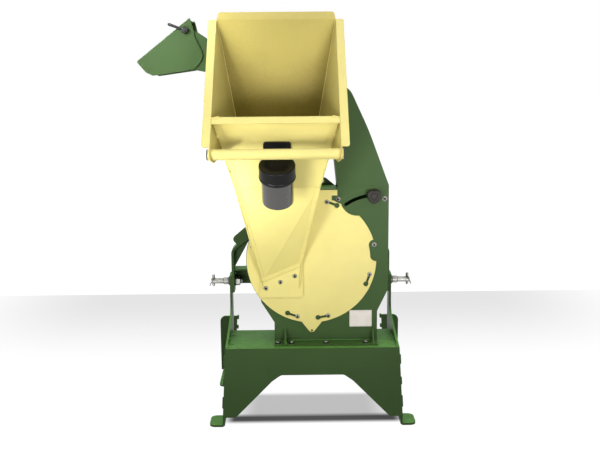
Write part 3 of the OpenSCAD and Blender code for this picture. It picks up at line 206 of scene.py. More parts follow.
def enamel(name, p, extra=None):
    # sprayed paint: orange peel, cloudy colour, dirt and painted shade in corners, dusting and painted top
    # light on what faces up, thin on the edges
    f = Finish(name)
    edge, softNormal = f.edges(p["edge"])
    cloud = f.noise(7.0, 4.0).between(0.3, 0.7)
    # what faces up takes a lighter colour: dusting, and on the green a painted top light, brighter and spread
    # almost evenly
    dustAndToplitPatches = f.noise(38.0, 5.0, 0.6).between(0.35, 0.75) * (1 - p["even"]) + p["even"]
    dustAndToplit = f.facing() * dustAndToplitPatches * p["dustAndToplit"]
    grimeAndShadePatches = f.noise(26.0, 5.0, 0.65).between(0.2, 0.8) * p["cloudy"] + 1 - p["cloudy"]
    # corners take a darker colour: dirt together with painted shade, from ambient occlusion where light is cut
    # off
    corner = f.corners(p["reach"]) * grimeAndShadePatches * p["grimeAndShadeAmount"]
    shaded = [c * p["shade"] for c in rgb(*p["colour"])[:3]] + [1]
    colour = f.mixed(cloud, shaded, rgb(*p["colour"]))
    colour = f.mixed(corner, colour, rgb(*p["grimeAndShadeColour"]))
    colour = f.mixed(dustAndToplit, colour, rgb(*p["dustAndToplitColour"]))
    worn = edge * f.noise(85.0, 4.0, 0.7).between(0.60, 0.68)
    colour = f.mixed(worn * p["wear"], colour, rgb(*p["primer"]))
    roughness = p["roughness"] + cloud * 0.05 + dustAndToplit * 0.2 + worn * 0.2
    if extra:
        colour, roughness = extra(f, colour, roughness)
    peel = f.noise(p["grain"], 2.0)
    bump = f.add("ShaderNodeBump", {}, {"Height": peel, "Distance": p["grainDepth"], "Strength": 0.6,
                                        "Normal": softNormal})
    return f.done(colour, Roughness=roughness, Normal=bump, **{
        "Specular IOR Level": p["gloss"], "Coat Weight": p["coat"], "Coat Roughness": p["coatRoughness"]})


def metal(name, p, grain, stretch=(1, 1, 1)):
    # bare or plated metal: a mottled tint, fine scratches, painted shade in sockets and corners
    f = Finish(name)
    mottle = f.noise(60.0, 5.0, 0.65).between(0.35, 0.7)
    scratch = f.noise(grain, 3.0, 0.6, stretch)
    # sockets and corners take a darker colour: painted shade from ambient occlusion
    hollowShade = f.corners(0.010, 0.62, 0.97)
    colour = f.mixed(mottle * 0.6, rgb(*p["colour"]), rgb(*p["tint"]))
    colour = f.mixed(hollowShade, colour, rgb(*p["hollowShade"]))
    roughness = p["roughness"] + mottle * 0.12 + scratch * 0.1 + hollowShade * 0.2
    bump = f.add("ShaderNodeBump", {}, {"Height": scratch, "Distance": 0.00005, "Strength": 0.5})
    return f.done(colour, Metallic=1.0, Roughness=roughness, Normal=bump)


def plastic(name, p, grain=1400.0, stretch=(1, 1, 1)):
    # moulded or drawn plastic: a fine grain, with scuffs where it is touched
    f = Finish(name)
    scuff = f.noise(45.0, 5.0, 0.7, stretch).between(0.5, 0.8)
    colour = f.mixed(scuff * 0.4, rgb(*p["colour"]), rgb(*p["scuffed"]))
    pits = f.cells(grain)
    bump = f.add("ShaderNodeBump", {}, {"Height": pits, "Distance": 0.00004, "Strength": 0.35})
    return f.done(colour, Roughness=p["roughness"] + scuff * 0.2, Normal=bump,
                  **{"Specular IOR Level": p["gloss"]})


def plateFinish(name, p):
    # a pale printed plate with a frame and empty ruled rows: bands of x and z
    f = Finish(name)
    x, _, z = f.parts(f.place)
    pitch = (p["rowTop"] - p["low"] - p["rowFoot"]) / p["rows"]

    def inside(v, low, high, soft=0.0004):
        return v.between(low - soft, low + soft) * (1 - v.between(high - soft, high + soft))

    def box(gap):                     # 1 inside the plate's edges, gap away from them
        return inside(x, p["left"] + gap, p["right"] - gap) * inside(z, p["low"] + gap, p["high"] - gap)

    row = f.add("ShaderNodeMath", {"operation": "FRACT"}, {0: (z - p["low"] - p["rowFoot"]) * (1 / pitch)})
    margin = p["ruleMargin"]
    leftEnd, rightEnd = p["left"] + margin, p["right"] - margin
    rules = (1 - row.between(0.06, 0.16)) * inside(z, p["low"] + margin, p["rowTop"]) * 0.5
    rules = rules * (inside(x, leftEnd, leftEnd + p["leftRule"])
                     + inside(x, rightEnd - p["rightRule"], rightEnd))
    haze = f.noise(50.0, 4.0).between(0.4, 0.8)
    colour = f.mixed(haze * 0.25, rgb(*p["paper"]), rgb(*p["aged"]))
    colour = f.mixed(rules, colour, rgb(*p["ink"]))
    colour = f.mixed((box(p["frameOut"]) - box(p["frameIn"])) * 0.55, colour, rgb(*p["frame"]))
    return f.done(colour, Roughness=p["roughness"] + haze * 0.1)


rubbedArc = {"pivot": (0.228, 0.665), "radius": 0.206, "width": 0.0016, "colour": (96, 122, 80),
             "strength": 0.4, "left": (0.095, 0.125), "right": (0.232, 0.245), "low": (0.70, 0.75),
             "behind": (-0.236, -0.234)}


def rubbed(f, colour, roughness):     # a faint ring rubbed by the damper's knob, round the damper's pivot
    x, y, z = f.parts(f.place)
    g = rubbedArc
    dx, dz = x - g["pivot"][0], z - g["pivot"][1]
    away = f.add("ShaderNodeMath", {"operation": "SQRT"}, {0: dx * dx + dz * dz})
    off = f.add("ShaderNodeMath", {"operation": "ABSOLUTE"}, {0: away - g["radius"]})
    ring = (1 - off.between(g["width"] * 0.4, g["width"])) * (1 - x.between(*g["right"]))
    ring = ring * x.between(*g["left"]) * z.between(*g["low"]) * (1 - y.between(*g["behind"]))
    return f.mixed(ring * g["strength"], colour, rgb(*g["colour"])), roughness + ring * 0.15


def outside(f, colour, roughness):
    # the hopper's rear wall keeps the plain cream on the side that faces away from the mouth; its darker
    # inside is painted shade with some staining
    away = f.parts(f.normal())[1].between(0.2, 0.5)
    return f.mixed(away, colour, rgb(*creamEnamel["colour"])), roughness


finishes = {
    "green_paint": enamel("greenEnamel", greenEnamel),
    "cream_paint": enamel("creamEnamel", creamEnamel),
    "hopper_cream": enamel("hopperShadeAndStainEnamel", hopperShadeAndStainEnamel),
    "rear_cream": enamel("rearShadeAndStainEnamel", rearShadeAndStainEnamel, outside),
    "zinc_plate": metal("zincPlate", zincPlate, 500.0),
    "bare_steel": metal("groundSteel", groundSteel, 260.0, (1, 1, 8)),
    "dark_steel": metal("recessShadeSteel", recessShadeSteel, 400.0),
    "shaded_green": enamel("shadedGreen", dict(greenEnamel, dustAndToplit=0.15)),
    "black_plastic": plastic("blackPlastic", blackPlastic),
    "knob_plastic": plastic("brownPlastic", brownPlastic),
    "cap_plastic": plastic("capPlastic", capPlastic, 900.0),
    "tube_plastic": plastic("drawnPlastic", drawnPlastic, 900.0, (1, 1, 0.2)),
    "blank_plate": plateFinish("blankPlate", blankPlate),
    "housing_green": enamel("housingGreen", greenEnamel, rubbed),
}

slotOf = {s["node"]: s["material_slot"] for s in frame["record"]["subparts"]}
ownFinish = {"housing_front_sheet": "housing_green", "housing_foot_flange": "shaded_green",
             "hopper_rear": "rear_cream", "hopper_left": "hopper_cream", "hopper_right": "hopper_cream",
             # the deflector's pivot in the dark steel: painted shade in the bore of the lever's hub
             "deflector_pivots": "dark_steel"}
for name, node in frame["nodes"].items():
    node.data.materials.clear()
    node.data.materials.append(finishes[ownFinish.get(name, slotOf[name])])
print("finishes on", len(slotOf), "nodes")


def gridFaces(rows, columns, loopRows, loopColumns):      # quads between neighbours of a grid of points
    i = np.arange(rows if loopRows else rows - 1)[:, None]
    j = np.arange(columns if loopColumns else columns - 1)[None]
    nextI, nextJ = (i + 1) % rows, (j + 1) % columns
    return np.stack([i * columns + j, nextI * columns + j, nextI * columns + nextJ, i * columns + nextJ],
                    -1).reshape(-1, 4)


def makePiece(name, grids, slot, body, replaces=(), sharp=38, finish=None):
    # one closed mesh from grids of points; each grid is (points, loopRows, loopColumns)
    points, faces, start = [], [], 0
    for grid, loopRows, loopColumns in grids:
        rows, columns = grid.shape[:2]
        points.append(grid.reshape(-1, 3))
        faces.append(gridFaces(rows, columns, loopRows, loopColumns) + start)
        start += rows * columns
    data = bpy.data.meshes.new(name)
    data.from_pydata(np.concatenate(points).tolist(), [], np.concatenate(faces).tolist())
    tidy = bmesh.new()
    tidy.from_mesh(data)
    bmesh.ops.remove_doubles(tidy, verts=tidy.verts, dist=2e-6)
    bmesh.ops.recalc_face_normals(tidy, faces=tidy.faces)
    tidy.to_mesh(data)
    tidy.free()
    data.shade_smooth()
    data.set_sharp_from_angle(angle=radians(sharp))
    data.materials.append(finishes[finish or slot])
    piece = bpy.data.objects.new(name, data)
    bpy.context.scene.collection.objects.link(piece)
    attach(piece, body)
    if replaces:
        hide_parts(*replaces)


def unit(v):
    v = np.asarray(v, float)
    return v / np.linalg.norm(v, axis=-1, keepdims=True)


def carried(path, profile, up, size=1.0):
    # a profile carried along a path: path + size * (profile x * side + profile y * rise)
    path = np.asarray(path, float)
    ahead = unit(np.gradient(path, axis=0))
    side = unit(np.cross(ahead, up))
    rise = np.cross(side, ahead)
    size = np.broadcast_to(np.asarray(size, float), (len(path),))[:, None, None]
    across, along = profile[None, :, :1], profile[None, :, 1:]
    return path[:, None] + size * (across * side[:, None] + along * rise[:, None])


def roundProfile(radius, count=10):
    a = np.linspace(0, 2 * np.pi, count, endpoint=False)
    return radius * np.stack([np.cos(a), np.sin(a)], -1)


def stitches(a, b, radius, length, pitch, up, seed):
    # short beads set along the line from a to b, one in each pitch
    a, b = np.asarray(a, float), np.asarray(b, float)
    span = np.linalg.norm(b - a)
    count = max(1, int(span / pitch))
    middles = (np.arange(count) + 0.5) / count
    half = length / 2 / span
    return [bead(a + (b - a) * (m - half), a + (b - a) * (m + half), radius, up, seed=seed + k)
            for k, m in enumerate(middles)]


def bead(a, b, radius, up=(0.3, 0.2, 1), step=0.0022, seed=0):
    # a weld bead from a to b: a circle whose size swells at each ripple and fades at both ends
    a, b = np.asarray(a, float), np.asarray(b, float)
    length = np.linalg.norm(b - a)
    u = np.linspace(0, 1, max(12, int(length / step * 2)))
    wobble = np.random.default_rng(abs(int(seed)) + 1).normal(0, 0.05, len(u))
    size = (1 + 0.10 * np.abs(np.sin(np.pi * u * length / (2 * step))) + wobble) * np.clip(
        np.sqrt(np.clip(np.minimum(u, 1 - u) * length / radius, 0, 1)), 0, 1)
    size[0] = size[-1] = 0
    return carried(a + (b - a) * u[:, None], roundProfile(radius), up, size), False, True


def ringBead(centre, axis, across, radius):
    # a bead round a tube: a circle carried round a circle, swelling at each ripple
    axis = unit(axis)
    p = unit(np.cross(axis, (0.31, 0.52, 0.8)))
    q = np.cross(axis, p)
    a, b = np.meshgrid(np.linspace(0, 2 * np.pi, 120, endpoint=False),
                       np.linspace(0, 2 * np.pi, 10, endpoint=False), indexing="ij")
    r = radius * (1 + 0.1 * np.abs(np.sin(a * 12)))
    out = across + r * np.cos(b)
    return (np.asarray(centre, float) + out[..., None] * (np.cos(a)[..., None] * p + np.sin(a)[..., None] * q)
            + (r * np.sin(b))[..., None] * axis), True, True


def turnedShape(profile, centre, axis, count=96):
    # a profile of (distance along the axis, radius) turned about the axis through centre
    axis = unit(axis)
    p = unit(np.cross(axis, (0.31, 0.52, 0.8)))
    q = np.cross(axis, p)
    a = np.linspace(0, 2 * np.pi, count, endpoint=False)
    profile = np.asarray(profile, float)
    spoke = np.cos(a)[:, None] * p + np.sin(a)[:, None] * q
    points = np.asarray(centre, float) + profile[:, None, :1] * axis + profile[:, None, 1:] * spoke[None]
    return points, False, True


def arc(cx, cy, r, fromDegrees, toDegrees, count=7):      # points of a rounded corner in a profile
    a = np.radians(np.linspace(fromDegrees, toDegrees, count))
    return np.stack([cx + r * np.cos(a), cy + r * np.sin(a)], -1)


def thread(centre, axis, radius, length, pitch):
    # a threaded end: rings whose radius follows a triangle wave along the axis
    rings = int(length / pitch * 4)   # four in each turn of the thread
    x = np.linspace(0, length, rings + 1)
    r = radius + pitch * 0.22 * (np.abs((x / pitch) % 1 - 0.5) * 4 - 1)
    chamfer = [[length + 0.0006, radius * 0.86], [length + 0.0006, 0]]
    return turnedShape(np.concatenate([[[0, 0]], np.stack([x, r], -1), chamfer]), centre, axis, 32)


def mm(*values):
    return np.array(values, float) / 1000


weld = {"seam": 0.0036, "fillet": 0.0040, "housing": 0.003, "rib": 0.0024, "hood": 0.0014}
# the base and the housing, in mm; the base's side plates lean outwards towards the floor
baseSize = {"top": 300, "half": 308, "lean": 17, "apron": 8.6, "front": -302, "back": 302,
            "footX": 332.6, "footTop": 8, "cornerSpans": ((272, 233), (186, 154), (115, 68)),
            "topSpans": ((-300, -262), (-214, -176), (-128, -92)),
            "footSpans": ((-308, -222), (94, 308)), "backSpans": ((250, 228), (205, 185))}
housingSize = {"front": -235, "foot": 305, "footSpans": ((-136, -100), (-92, 218), (230, 243)),
               "ribs": (-101, -95, 222, 228), "ribFront": -276, "ribTop": 346}


def sideX(z):                         # inner face of the right side plate at a height, in mm
    return baseSize["half"] + (baseSize["top"] - z) * baseSize["lean"] / baseSize["top"]


def cornerX(z):                       # outer edge of the apron at a height, in mm
    return sideX(z) + baseSize["apron"]


def baseSeams(side, g):               # the beads of one side of the base
    front, back, top, half = g["front"], g["back"], g["top"], side * g["half"]
    footX, footTop = side * g["footX"], g["footTop"]
    return ([bead(mm(side * cornerX(z0), front, z0), mm(side * cornerX(z1), front, z1), weld["seam"],
                  (0, 1, 0), seed=k + side) for k, (z0, z1) in enumerate(g["cornerSpans"])]
            + [bead(mm(half, y0, top), mm(half, y1, top), weld["seam"], seed=7 * k + side)
               for k, (y0, y1) in enumerate(g["topSpans"])]
            + [bead(mm(footX, y0, footTop), mm(footX, y1, footTop), weld["fillet"], step=0.01)
               for y0, y1 in g["footSpans"]]
            + [bead(mm(side * sideX(z0), back, z0), mm(side * sideX(z1), back, z1), weld["seam"], (0, 1, 0))
               for z0, z1 in g["backSpans"]])


makePiece("baseWelds", baseSeams(-1, baseSize) + baseSeams(1, baseSize), "green_paint", "frame")

wallY, footZ = housingSize["front"], housingSize["foot"]
housingWelds = [bead(mm(x0, wallY, footZ), mm(x1, wallY, footZ), weld["housing"], seed=k)
                for k, (x0, x1) in enumerate(housingSize["footSpans"])]
for x in housingSize["ribs"]:
    housingWelds.append(bead(mm(x, housingSize["ribFront"], footZ), mm(x, wallY - 1, footZ),
                             weld["rib"], seed=x))
    housingWelds.append(bead(mm(x, wallY, footZ + 3), mm(x, wallY, housingSize["ribTop"]),
                             weld["rib"], (0, 1, 0), seed=x + 1))
makePiece("housingWelds", housingWelds, "green_paint", "frame")
print("green welds done")

# the hopper's corners, in mm: the mouth, the fold and the throat
foldLeft, foldRight = (-256, -420.6, 902.5), (24, -420.6, 902.5)
lipLeft, lipRight = (-318, -554, 1141.3), (86, -554, 1141.3)
mouthLeft, mouthRight = (-318, -292, 1458), (86, -292, 1458)
footLeft, footRight = (-217.5, -244, 867), (-14.5, -244, 867)
throatLeft, throatRight = (-179.6, -241, 536.1), (-40.5, -241, 594.9)


def seam(a, b, off, radius, seed, step=0.0022):           # a bead along a line of the hopper, moved by off
    a, b, off = np.array(a, float), np.array(b, float), np.array(off, float)
    return bead((a + off) / 1000, (b + off) / 1000, radius, (0, 0.3, 1), step, seed)


def outOf(a, b, c):                   # the outward normal of the sheet with corners a, b and c
    normal = unit(np.cross(np.subtract(b, a), np.subtract(c, a)))
    return -normal * np.sign(normal[1])


# radii, pitch and length of the beads; the stitches stand lip mm out from their edge
creamWeld = {"seam": 0.0024, "inner": 0.0010, "foldSeam": 0.0016, "facetSeam": 0.0013, "ridge": 0.0044,
             "stitch": 0.00272, "pitch": 0.1, "length": 0.015, "lip": 8}
# the beads under the throat's flange, in mm
flangeBeads = {"spans": ((-186, -158), (-136, -106), (-72, -42)), "y": -243, "z": 471.5}
frontOut = np.array((0, -0.87308, -0.48759))
funnelOut = outOf(foldLeft, throatLeft, foldRight)
facetOut = outOf(foldRight, throatLeft, throatRight)
hopperWelds = [
    seam(lipLeft, foldLeft, 3 * frontOut + (1.5, 0, 0), creamWeld["seam"], 1),
    seam(lipRight, foldRight, 3 * frontOut - (1.5, 0, 0), creamWeld["seam"], 2),
    seam(foldLeft, throatLeft, 3 * funnelOut + (1.5, 0, 0), creamWeld["seam"], 3),
    seam(foldRight, throatRight, 3 * facetOut - (1.5, 0, 0), creamWeld["seam"], 4),
    seam(foldLeft, foldRight, 2.4 * frontOut, creamWeld["foldSeam"], 5, 0.01),
    seam(foldRight, throatLeft, 2.2 * facetOut, creamWeld["facetSeam"], 6, 0.01),
    seam(mouthLeft, footLeft, (1, -0.5, 0), creamWeld["inner"], 7),
    seam(mouthRight, footRight, (-1, -0.5, 0), creamWeld["inner"], 8),
    seam(lipLeft, foldLeft, (1, 1, 0), creamWeld["inner"], 9),
    seam(lipRight, foldRight, (-1, 1, 0), creamWeld["inner"], 10),
    seam(throatLeft, throatRight, (0, -6.5, -1), creamWeld["ridge"], 11, 0.006)]
for k, (a, b, out) in enumerate(((lipLeft, foldLeft, frontOut), (lipRight, foldRight, frontOut),
                                 (foldLeft, throatLeft, funnelOut), (foldRight, throatRight, facetOut))):
    out = creamWeld["lip"] * out
    hopperWelds += stitches((np.array(a) + out) / 1000, (np.array(b) + out) / 1000, creamWeld["stitch"],
                            creamWeld["length"], creamWeld["pitch"], (0, 0.3, 1), 20 + 10 * k)
y, z = flangeBeads["y"], flangeBeads["z"]
for x0, x1 in flangeBeads["spans"]:
    hopperWelds.append(bead(mm(x0, y, z), mm(x1, y, z), creamWeld["stitch"], seed=60 + x1))
makePiece("hopperWelds", hopperWelds, "cream_paint", "cover")

# a fold's width across the sheet at the lip, the fold line and the throat, its height and its foot, in mm
edgeFold = {"wide": (24.0, 13.0, 11.0), "high": 7.6, "foot": 3.1, "throatWide": (17.0, 17.0),
            "throatHigh": 10.0}


def foldShape(points, inward, outward, wide, high, foot):
    # a sheet's folded edge: a triangle carried along its corner, wide across the sheet and high at the corner
    points = np.asarray(points, float)
    inward, outward = unit(np.asarray(inward, float)), unit(np.asarray(outward, float))
    wide = np.asarray(wide, float)[:, None]
    low = points + foot * outward
    ring = np.stack([low, points + high * outward, points + (high - 1) * outward + 1.2 * inward,
                     low + wide * inward + 0.5 * outward, low + wide * inward], 1)
    ends = [np.repeat(ring[k].mean(0)[None, None], ring.shape[1], 1) for k in (0, -1)]
    return np.concatenate([ends[0], ring, ends[1]]) / 1000, False, True


def inwardFrom(a, b, c, out):
    # across the sheet with normal out, from its edge a-b towards its corner c
    across = np.cross(out, np.subtract(b, a))
    return across * np.sign(across @ np.subtract(c, a))


hopperFolds = []
upperWide, lowerWide = edgeFold["wide"][:2], edgeFold["wide"][1:]
for a, b, c, out, wide, high in (
        (lipLeft, foldLeft, foldRight, frontOut, upperWide, edgeFold["high"]),
        (lipRight, foldRight, foldLeft, frontOut, upperWide, edgeFold["high"]),
        (foldLeft, throatLeft, foldRight, funnelOut, lowerWide, edgeFold["high"]),
        (foldRight, throatRight, throatLeft, facetOut, lowerWide, edgeFold["high"]),
        (throatLeft, throatRight, foldRight, facetOut, edgeFold["throatWide"], edgeFold["throatHigh"])):
    hopperFolds.append(foldShape((a, b), inwardFrom(a, b, c, out), out, wide, high, edgeFold["foot"]))
makePiece("hopperFolds", hopperFolds, "cream_paint", "cover", sharp=20)

hexSocket = {"reach": 0.0044, "bore": 0.0029, "deep": 0.0025, "rim": 0.0017}
# the face of the screws' heads and their middles, in mm
coverHeads = {"y": -245.9, "at": ((56.7, 823.5), (211.5, 555.3), (60.4, 401.5), (-53, 399.5), (-213, 662.7))}
housingHeads = {"y": -241.6, "at": ((97, 833), (265, 833), (228, 665))}
throatHeads = {"y": -251.6, "at": ((-60.9, 553.2), (-113.9, 530.8), (-166.8, 508.4))}


def socketShadeShapes(heads):              # the screws' hexagon sockets as six-sided cups in a dark finish: painted shade inside the sockets
    r, b, deep, rim = (hexSocket[k] for k in ("reach", "bore", "deep", "rim"))
    profile = np.array([[-deep, 0], [-deep, b - 0.0002], [0.0001, b], [0.0001, r], [-rim, r],
                        [-rim, b + 0.0003], [-deep - 0.0004, b + 0.0003], [-deep - 0.0004, 0]])
    return [turnedShape(profile, mm(x, heads["y"], z), (0, -1, 0), 6) for x, z in heads["at"]]


makePiece("coverSocketShade", socketShadeShapes(coverHeads) + socketShadeShapes(housingHeads), "zinc_plate", "frame",
          finish="dark_steel")
makePiece("throatSocketShade", socketShadeShapes(throatHeads), "zinc_plate", "cover", finish="dark_steel")
print("cream welds and sockets done")

# centre, front and back in mm, the rest in metres
knob = {"centre": (224.86, 844.97), "front": -263.3, "back": -235.6, "stem": 0.0115, "reach": 0.0245,
        "lobe": 0.0030, "edge": 0.0045, "thick": 0.0195}


def knobShape(k):
    # radius(a) = reach + lobe * cos(3(a + 90 degrees)): three lobes, one of them down, drawn in at both
    # rims and at the stem
    a = np.linspace(0, 2 * np.pi, 120, endpoint=False)
    outline = k["reach"] + k["lobe"] * np.cos(3 * (a + np.pi / 2))
    e, stem, thick = k["edge"], k["stem"], k["thick"]
    t = np.radians(np.linspace(0, 90, 7))
    # a plug in the face and the groove round it: a share of the outline, and a depth
    plug = [(0, -0.0006), (0.50, -0.0006), (0.54, 0.0004), (0.60, 0.0010), (0.68, 0.0004), (0.80, 0)]
    rows = [(share * (outline - e), y) for share, y in plug]
    rows += [(outline - e + e * np.sin(s), e - e * np.cos(s)) for s in t]
    rows += [(outline - e + e * np.cos(s), thick - e + e * np.sin(s)) for s in t]
    depth = (k["back"] - k["front"]) / 1000
    rows += [(stem * 1.15, thick + 0.0003), (stem, thick + 0.0015), (stem, depth), (0, depth)]
    r = np.stack([np.broadcast_to(radius, a.shape) for radius, _ in rows])
    y = np.array([[y] for _, y in rows])
    x0, z0 = k["centre"]
    return np.stack([x0 / 1000 + r * np.cos(a), k["front"] / 1000 + y + 0 * a, z0 / 1000 + r * np.sin(a)],
                    -1), False, True


makePiece("starKnob", [knobShape(knob)], "knob_plastic", "damper_knob", ["damper_knob"])

# in mm, but the bead's radius in metres
handle = {"y": -620.0, "z": 1028.5, "middle": -116.0, "length": 417.0, "radius": 16.85, "weldRadius": 17.0,
          "welds": (194.6, 199.4), "bead": 0.0012}


def plugShape(side):
    # a push-in cap: a rounded flange over the tube's end, and the plug that goes inside it
    r = handle["radius"] / 1000
    end = handle["middle"] + side * handle["length"] / 2
    profile = np.concatenate([
        [[-0.016, 0]], arc(-0.0145, r - 0.0045, 0.0015, 180, 90, 4),
        [[-0.0004, r - 0.003], [0.0002, r - 0.003], [0.0002, r - 0.0003]],
        arc(0.0022, r - 0.0018, 0.0018, 90, 0, 6), [[0.004, 0.006], [0.004, 0]]])
    return turnedShape(profile, mm(end, handle["y"], handle["z"]), (side, 0, 0))


makePiece("handleCaps", [plugShape(-1), plugShape(1)], "black_plastic", "cover", ["handle_plugs"])
handleWelds = [ringBead(mm(handle["middle"] + side * x, handle["y"], handle["z"]), (1, 0, 0),
                        handle["weldRadius"] / 1000, handle["bead"])
               for side in (-1, 1) for x in handle["welds"]]
makePiece("handleWelds", handleWelds, "cream_paint", "cover")
print("knob and handle done")

# in mm; down is a direction
documentTube = {"top": (-114, -551.58, 990.32), "down": (0, 0.48759, -0.87308), "radius": 52.0,
                "length": 146.0, "wall": 3.0, "capRadius": 58.6, "capLength": 50.0, "lip": 60.0, "dish": 38.0}


def tubeShape(d):
    # an open drawn tube with a rounded blind end: radius over distance from the cap's end
    r, end, w = d["radius"] / 1000, d["length"] / 1000, d["wall"] / 1000
    profile = np.concatenate([
        [[0.0056, r - w], [0.0050, r - w + 0.0006], [0.0050, r - 0.0006], [0.0056, r]],
        arc(end - 0.005, r - 0.005, 0.005, 90, 0, 9),
        [[end, 0.02], [end, 0], [end - w, 0], [end - w, r - w - 0.004]],
        arc(end - w - 0.003, r - w - 0.003, 0.003, 0, 90, 5), [[0.0056, r - w]]])
    return turnedShape(profile, mm(*d["top"]), d["down"], 128)


def capShape(d):
    # a deep push-on cap: a dished face, a rounded shoulder, a plain skirt and a swelled lip
    r, lip, end, dish = (d[k] / 1000 for k in ("capRadius", "lip", "capLength", "dish"))
    bore = d["radius"] / 1000 + 0.0004
    face = [[0.0022, 0], [0.0022, dish - 0.0015], [0.0016, dish - 0.0004], [0.0004, dish + 0.0004],
            [0, dish + 0.0015]]
    skirt = [[end - 0.0120, r], [end - 0.0105, r + 0.0002], [end - 0.0095, lip - 0.0004], [end - 0.0080, lip],
             [end - 0.0030, lip], [end - 0.0008, lip - 0.0008], [end, lip - 0.0024]]
    inside = [[end, bore + 0.001], [end - 0.001, bore], [0.006, bore], [0.0046, bore - 0.002], [0.0046, 0]]
    profile = np.concatenate([face, arc(0.0045, r - 0.0045, 0.0045, 180, 90, 9), skirt, inside])
    return turnedShape(profile, mm(*d["top"]), d["down"], 128)


makePiece("documentSleeve", [tubeShape(documentTube)], "black_plastic", "cover", ["document_tube"],
          finish="tube_plastic")
makePiece("documentSleeveCap", [capShape(documentTube)], "black_plastic", "document_cap",
          ["document_tube_cap"], finish="cap_plastic")

guardLow, guardHigh = (np.array(v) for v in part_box("pto_guard"))
# radii at the throat, the collar and the mouth, and the folds' number and depth
guard = {"axisZ": 0.612, "throat": 0.052, "collar": 0.068, "mouth": (guardHigh[0] - guardLow[0]) / 2,
         "wall": 0.0028, "rim": 0.004, "folds": 7, "depth": 0.0026}


def guardShape(g):
    # a bell of rubber: radius(t) grows from the collar to the mouth, less
    # depth * (1 - cos(2 pi folds t)) / 2, and ends in a rolled rim
    y0, y1, rim = guardLow[1], guardHigh[1], g["rim"]
    t = np.linspace(0, 1, 113)
    grow = g["collar"] + (g["mouth"] - 0.003 - g["collar"]) * np.clip(t * 1.25, 0, 1) ** 0.8
    wave = g["depth"] * (0.5 - 0.5 * np.cos(2 * np.pi * g["folds"] * t)) * np.clip(8 * t * (1 - t), 0, 1)
    outer = np.stack([y0 + rim + (y1 - y0 - 2 * rim) * t, grow - wave], -1)
    inner = outer[::-1] - [0, g["wall"]]
    rolled = arc(y1 - rim, outer[-1, 1] - g["wall"] / 2, rim, 90, -90, 9)
    start = [y0 + rim, g["throat"]]
    collar = [start, [y0 + 0.0003, g["throat"]], [y0 + 0.0003, g["collar"] - 0.002],
              [y0 + 0.0012, g["collar"]]]
    profile = np.concatenate([collar, outer, rolled, inner, [start]])
    return turnedShape(profile, (0, 0, g["axisZ"]), (0, 1, 0), 112)


makePiece("shaftGuard", [guardShape(guard)], "black_plastic", "frame", ["pto_guard"])

# in mm, the angle in degrees above level
lever = {"hub": (-431, -246, 1427), "radius": 11.0, "deep": 17.0, "bore": 5.1, "angle": 20.0, "length": 62.0,
         "thin": 4.0, "thick": 5.2, "armY": -10.0, "armStart": 7.5}


def leverShapes(k):
    # the hub is a ring turned about the pivot; the handle is a circle carried outwards, thicker towards its
    # round end
    r, b, deep = k["radius"] / 1000, k["bore"] / 1000, k["deep"] / 1000
    hub = np.concatenate([[[0, b], [0, r - 0.001], [0.001, r]], arc(deep - 0.003, r - 0.003, 0.003, 90, 0, 6),
                          [[deep, b + 0.001], [deep - 0.001, b], [0, b]]])
    a = radians(k["angle"])
    t = np.linspace(0, 1, 60)
    arm, reach, near = mm(*k["hub"]) + mm(0, k["armY"], 0), k["length"] / 1000, k["armStart"] / 1000
    path = arm + np.outer(near + (reach - near) * t, (-cos(a), 0, sin(a)))
    size = (k["thin"] + (k["thick"] - k["thin"]) * t) / 1000
    size = size * np.sqrt(np.clip((1 - t) * (reach / (k["thick"] / 1000)), 0, 1)) * np.clip(t * 30, 0, 1)
    return [turnedShape(hub, mm(*k["hub"]), (0, -1, 0), 64),
            (carried(path, roundProfile(1.0, 24), (0, 1, 0), size), False, True)]


makePiece("hoodLever", leverShapes(lever), "black_plastic", "clamp_lever", ["clamp_lever"])

# the threaded ends of the two lower pins, in mm
pinThread = {"y": -9.0, "z": 480.0, "inner": 267.6, "outer": 276.6, "radius": 11.05, "pitch": 2.5}


def pinThreadShape(side, g):
    return thread(mm(side * g["outer"], g["y"], g["z"]), (-side, 0, 0), g["radius"] / 1000,
                  (g["outer"] - g["inner"]) / 1000, g["pitch"] / 1000)


makePiece("pinThreads", [pinThreadShape(-1, pinThread), pinThreadShape(1, pinThread)], "zinc_plate", "frame")

# the hood's outline where its sheets meet, in mm, and the first seed and the y of its front and back beads
hoodCorners, hoodFaces = ((-413, 1469), (-602, 1322), (-570, 1284)), ((70, -241.6), (80, -108.4))
hoodSides = list(enumerate(zip(hoodCorners, hoodCorners[1:])))
hoodBeads = [bead(mm(x0, y, z0), mm(x1, y, z1), weld["hood"], (0, 1, 0), 0.008, seed=seed + k)
             for seed, y in hoodFaces for k, ((x0, z0), (x1, z1)) in hoodSides]
makePiece("hoodWelds", hoodBeads, "green_paint", "deflector")
print("tube, guard, lever and threads done")

studio = {"world": 0.76, "seen": 1.0, "floorTone": 0.18, "floorGlow": 0.98, "floorPaper": 0.10}
lamps = {                             # place, aim, size, watts and spread in degrees
    "key": ((-1.6, -2.8, 0.3), (-0.25, -0.4, 0.84), 1.1, 2.55, 32),
    "fill": ((1.0, -3.1, 0.45), (0.08, -0.45, 0.92), 1.0, 2.0, 34),
    "top": ((-0.2, -0.7, 3.4), (0, -0.2, 0.5), 1.2, 6.5, 180),
    "hood": ((-1.3, -2.0, 1.9), (-0.46, -0.1, 1.36), 0.4, 0.72, 16),
    "edge": ((-1.5, -1.9, 0.1), (-0.27, -0.42, 0.92), 0.3, 0.40, 12),
}
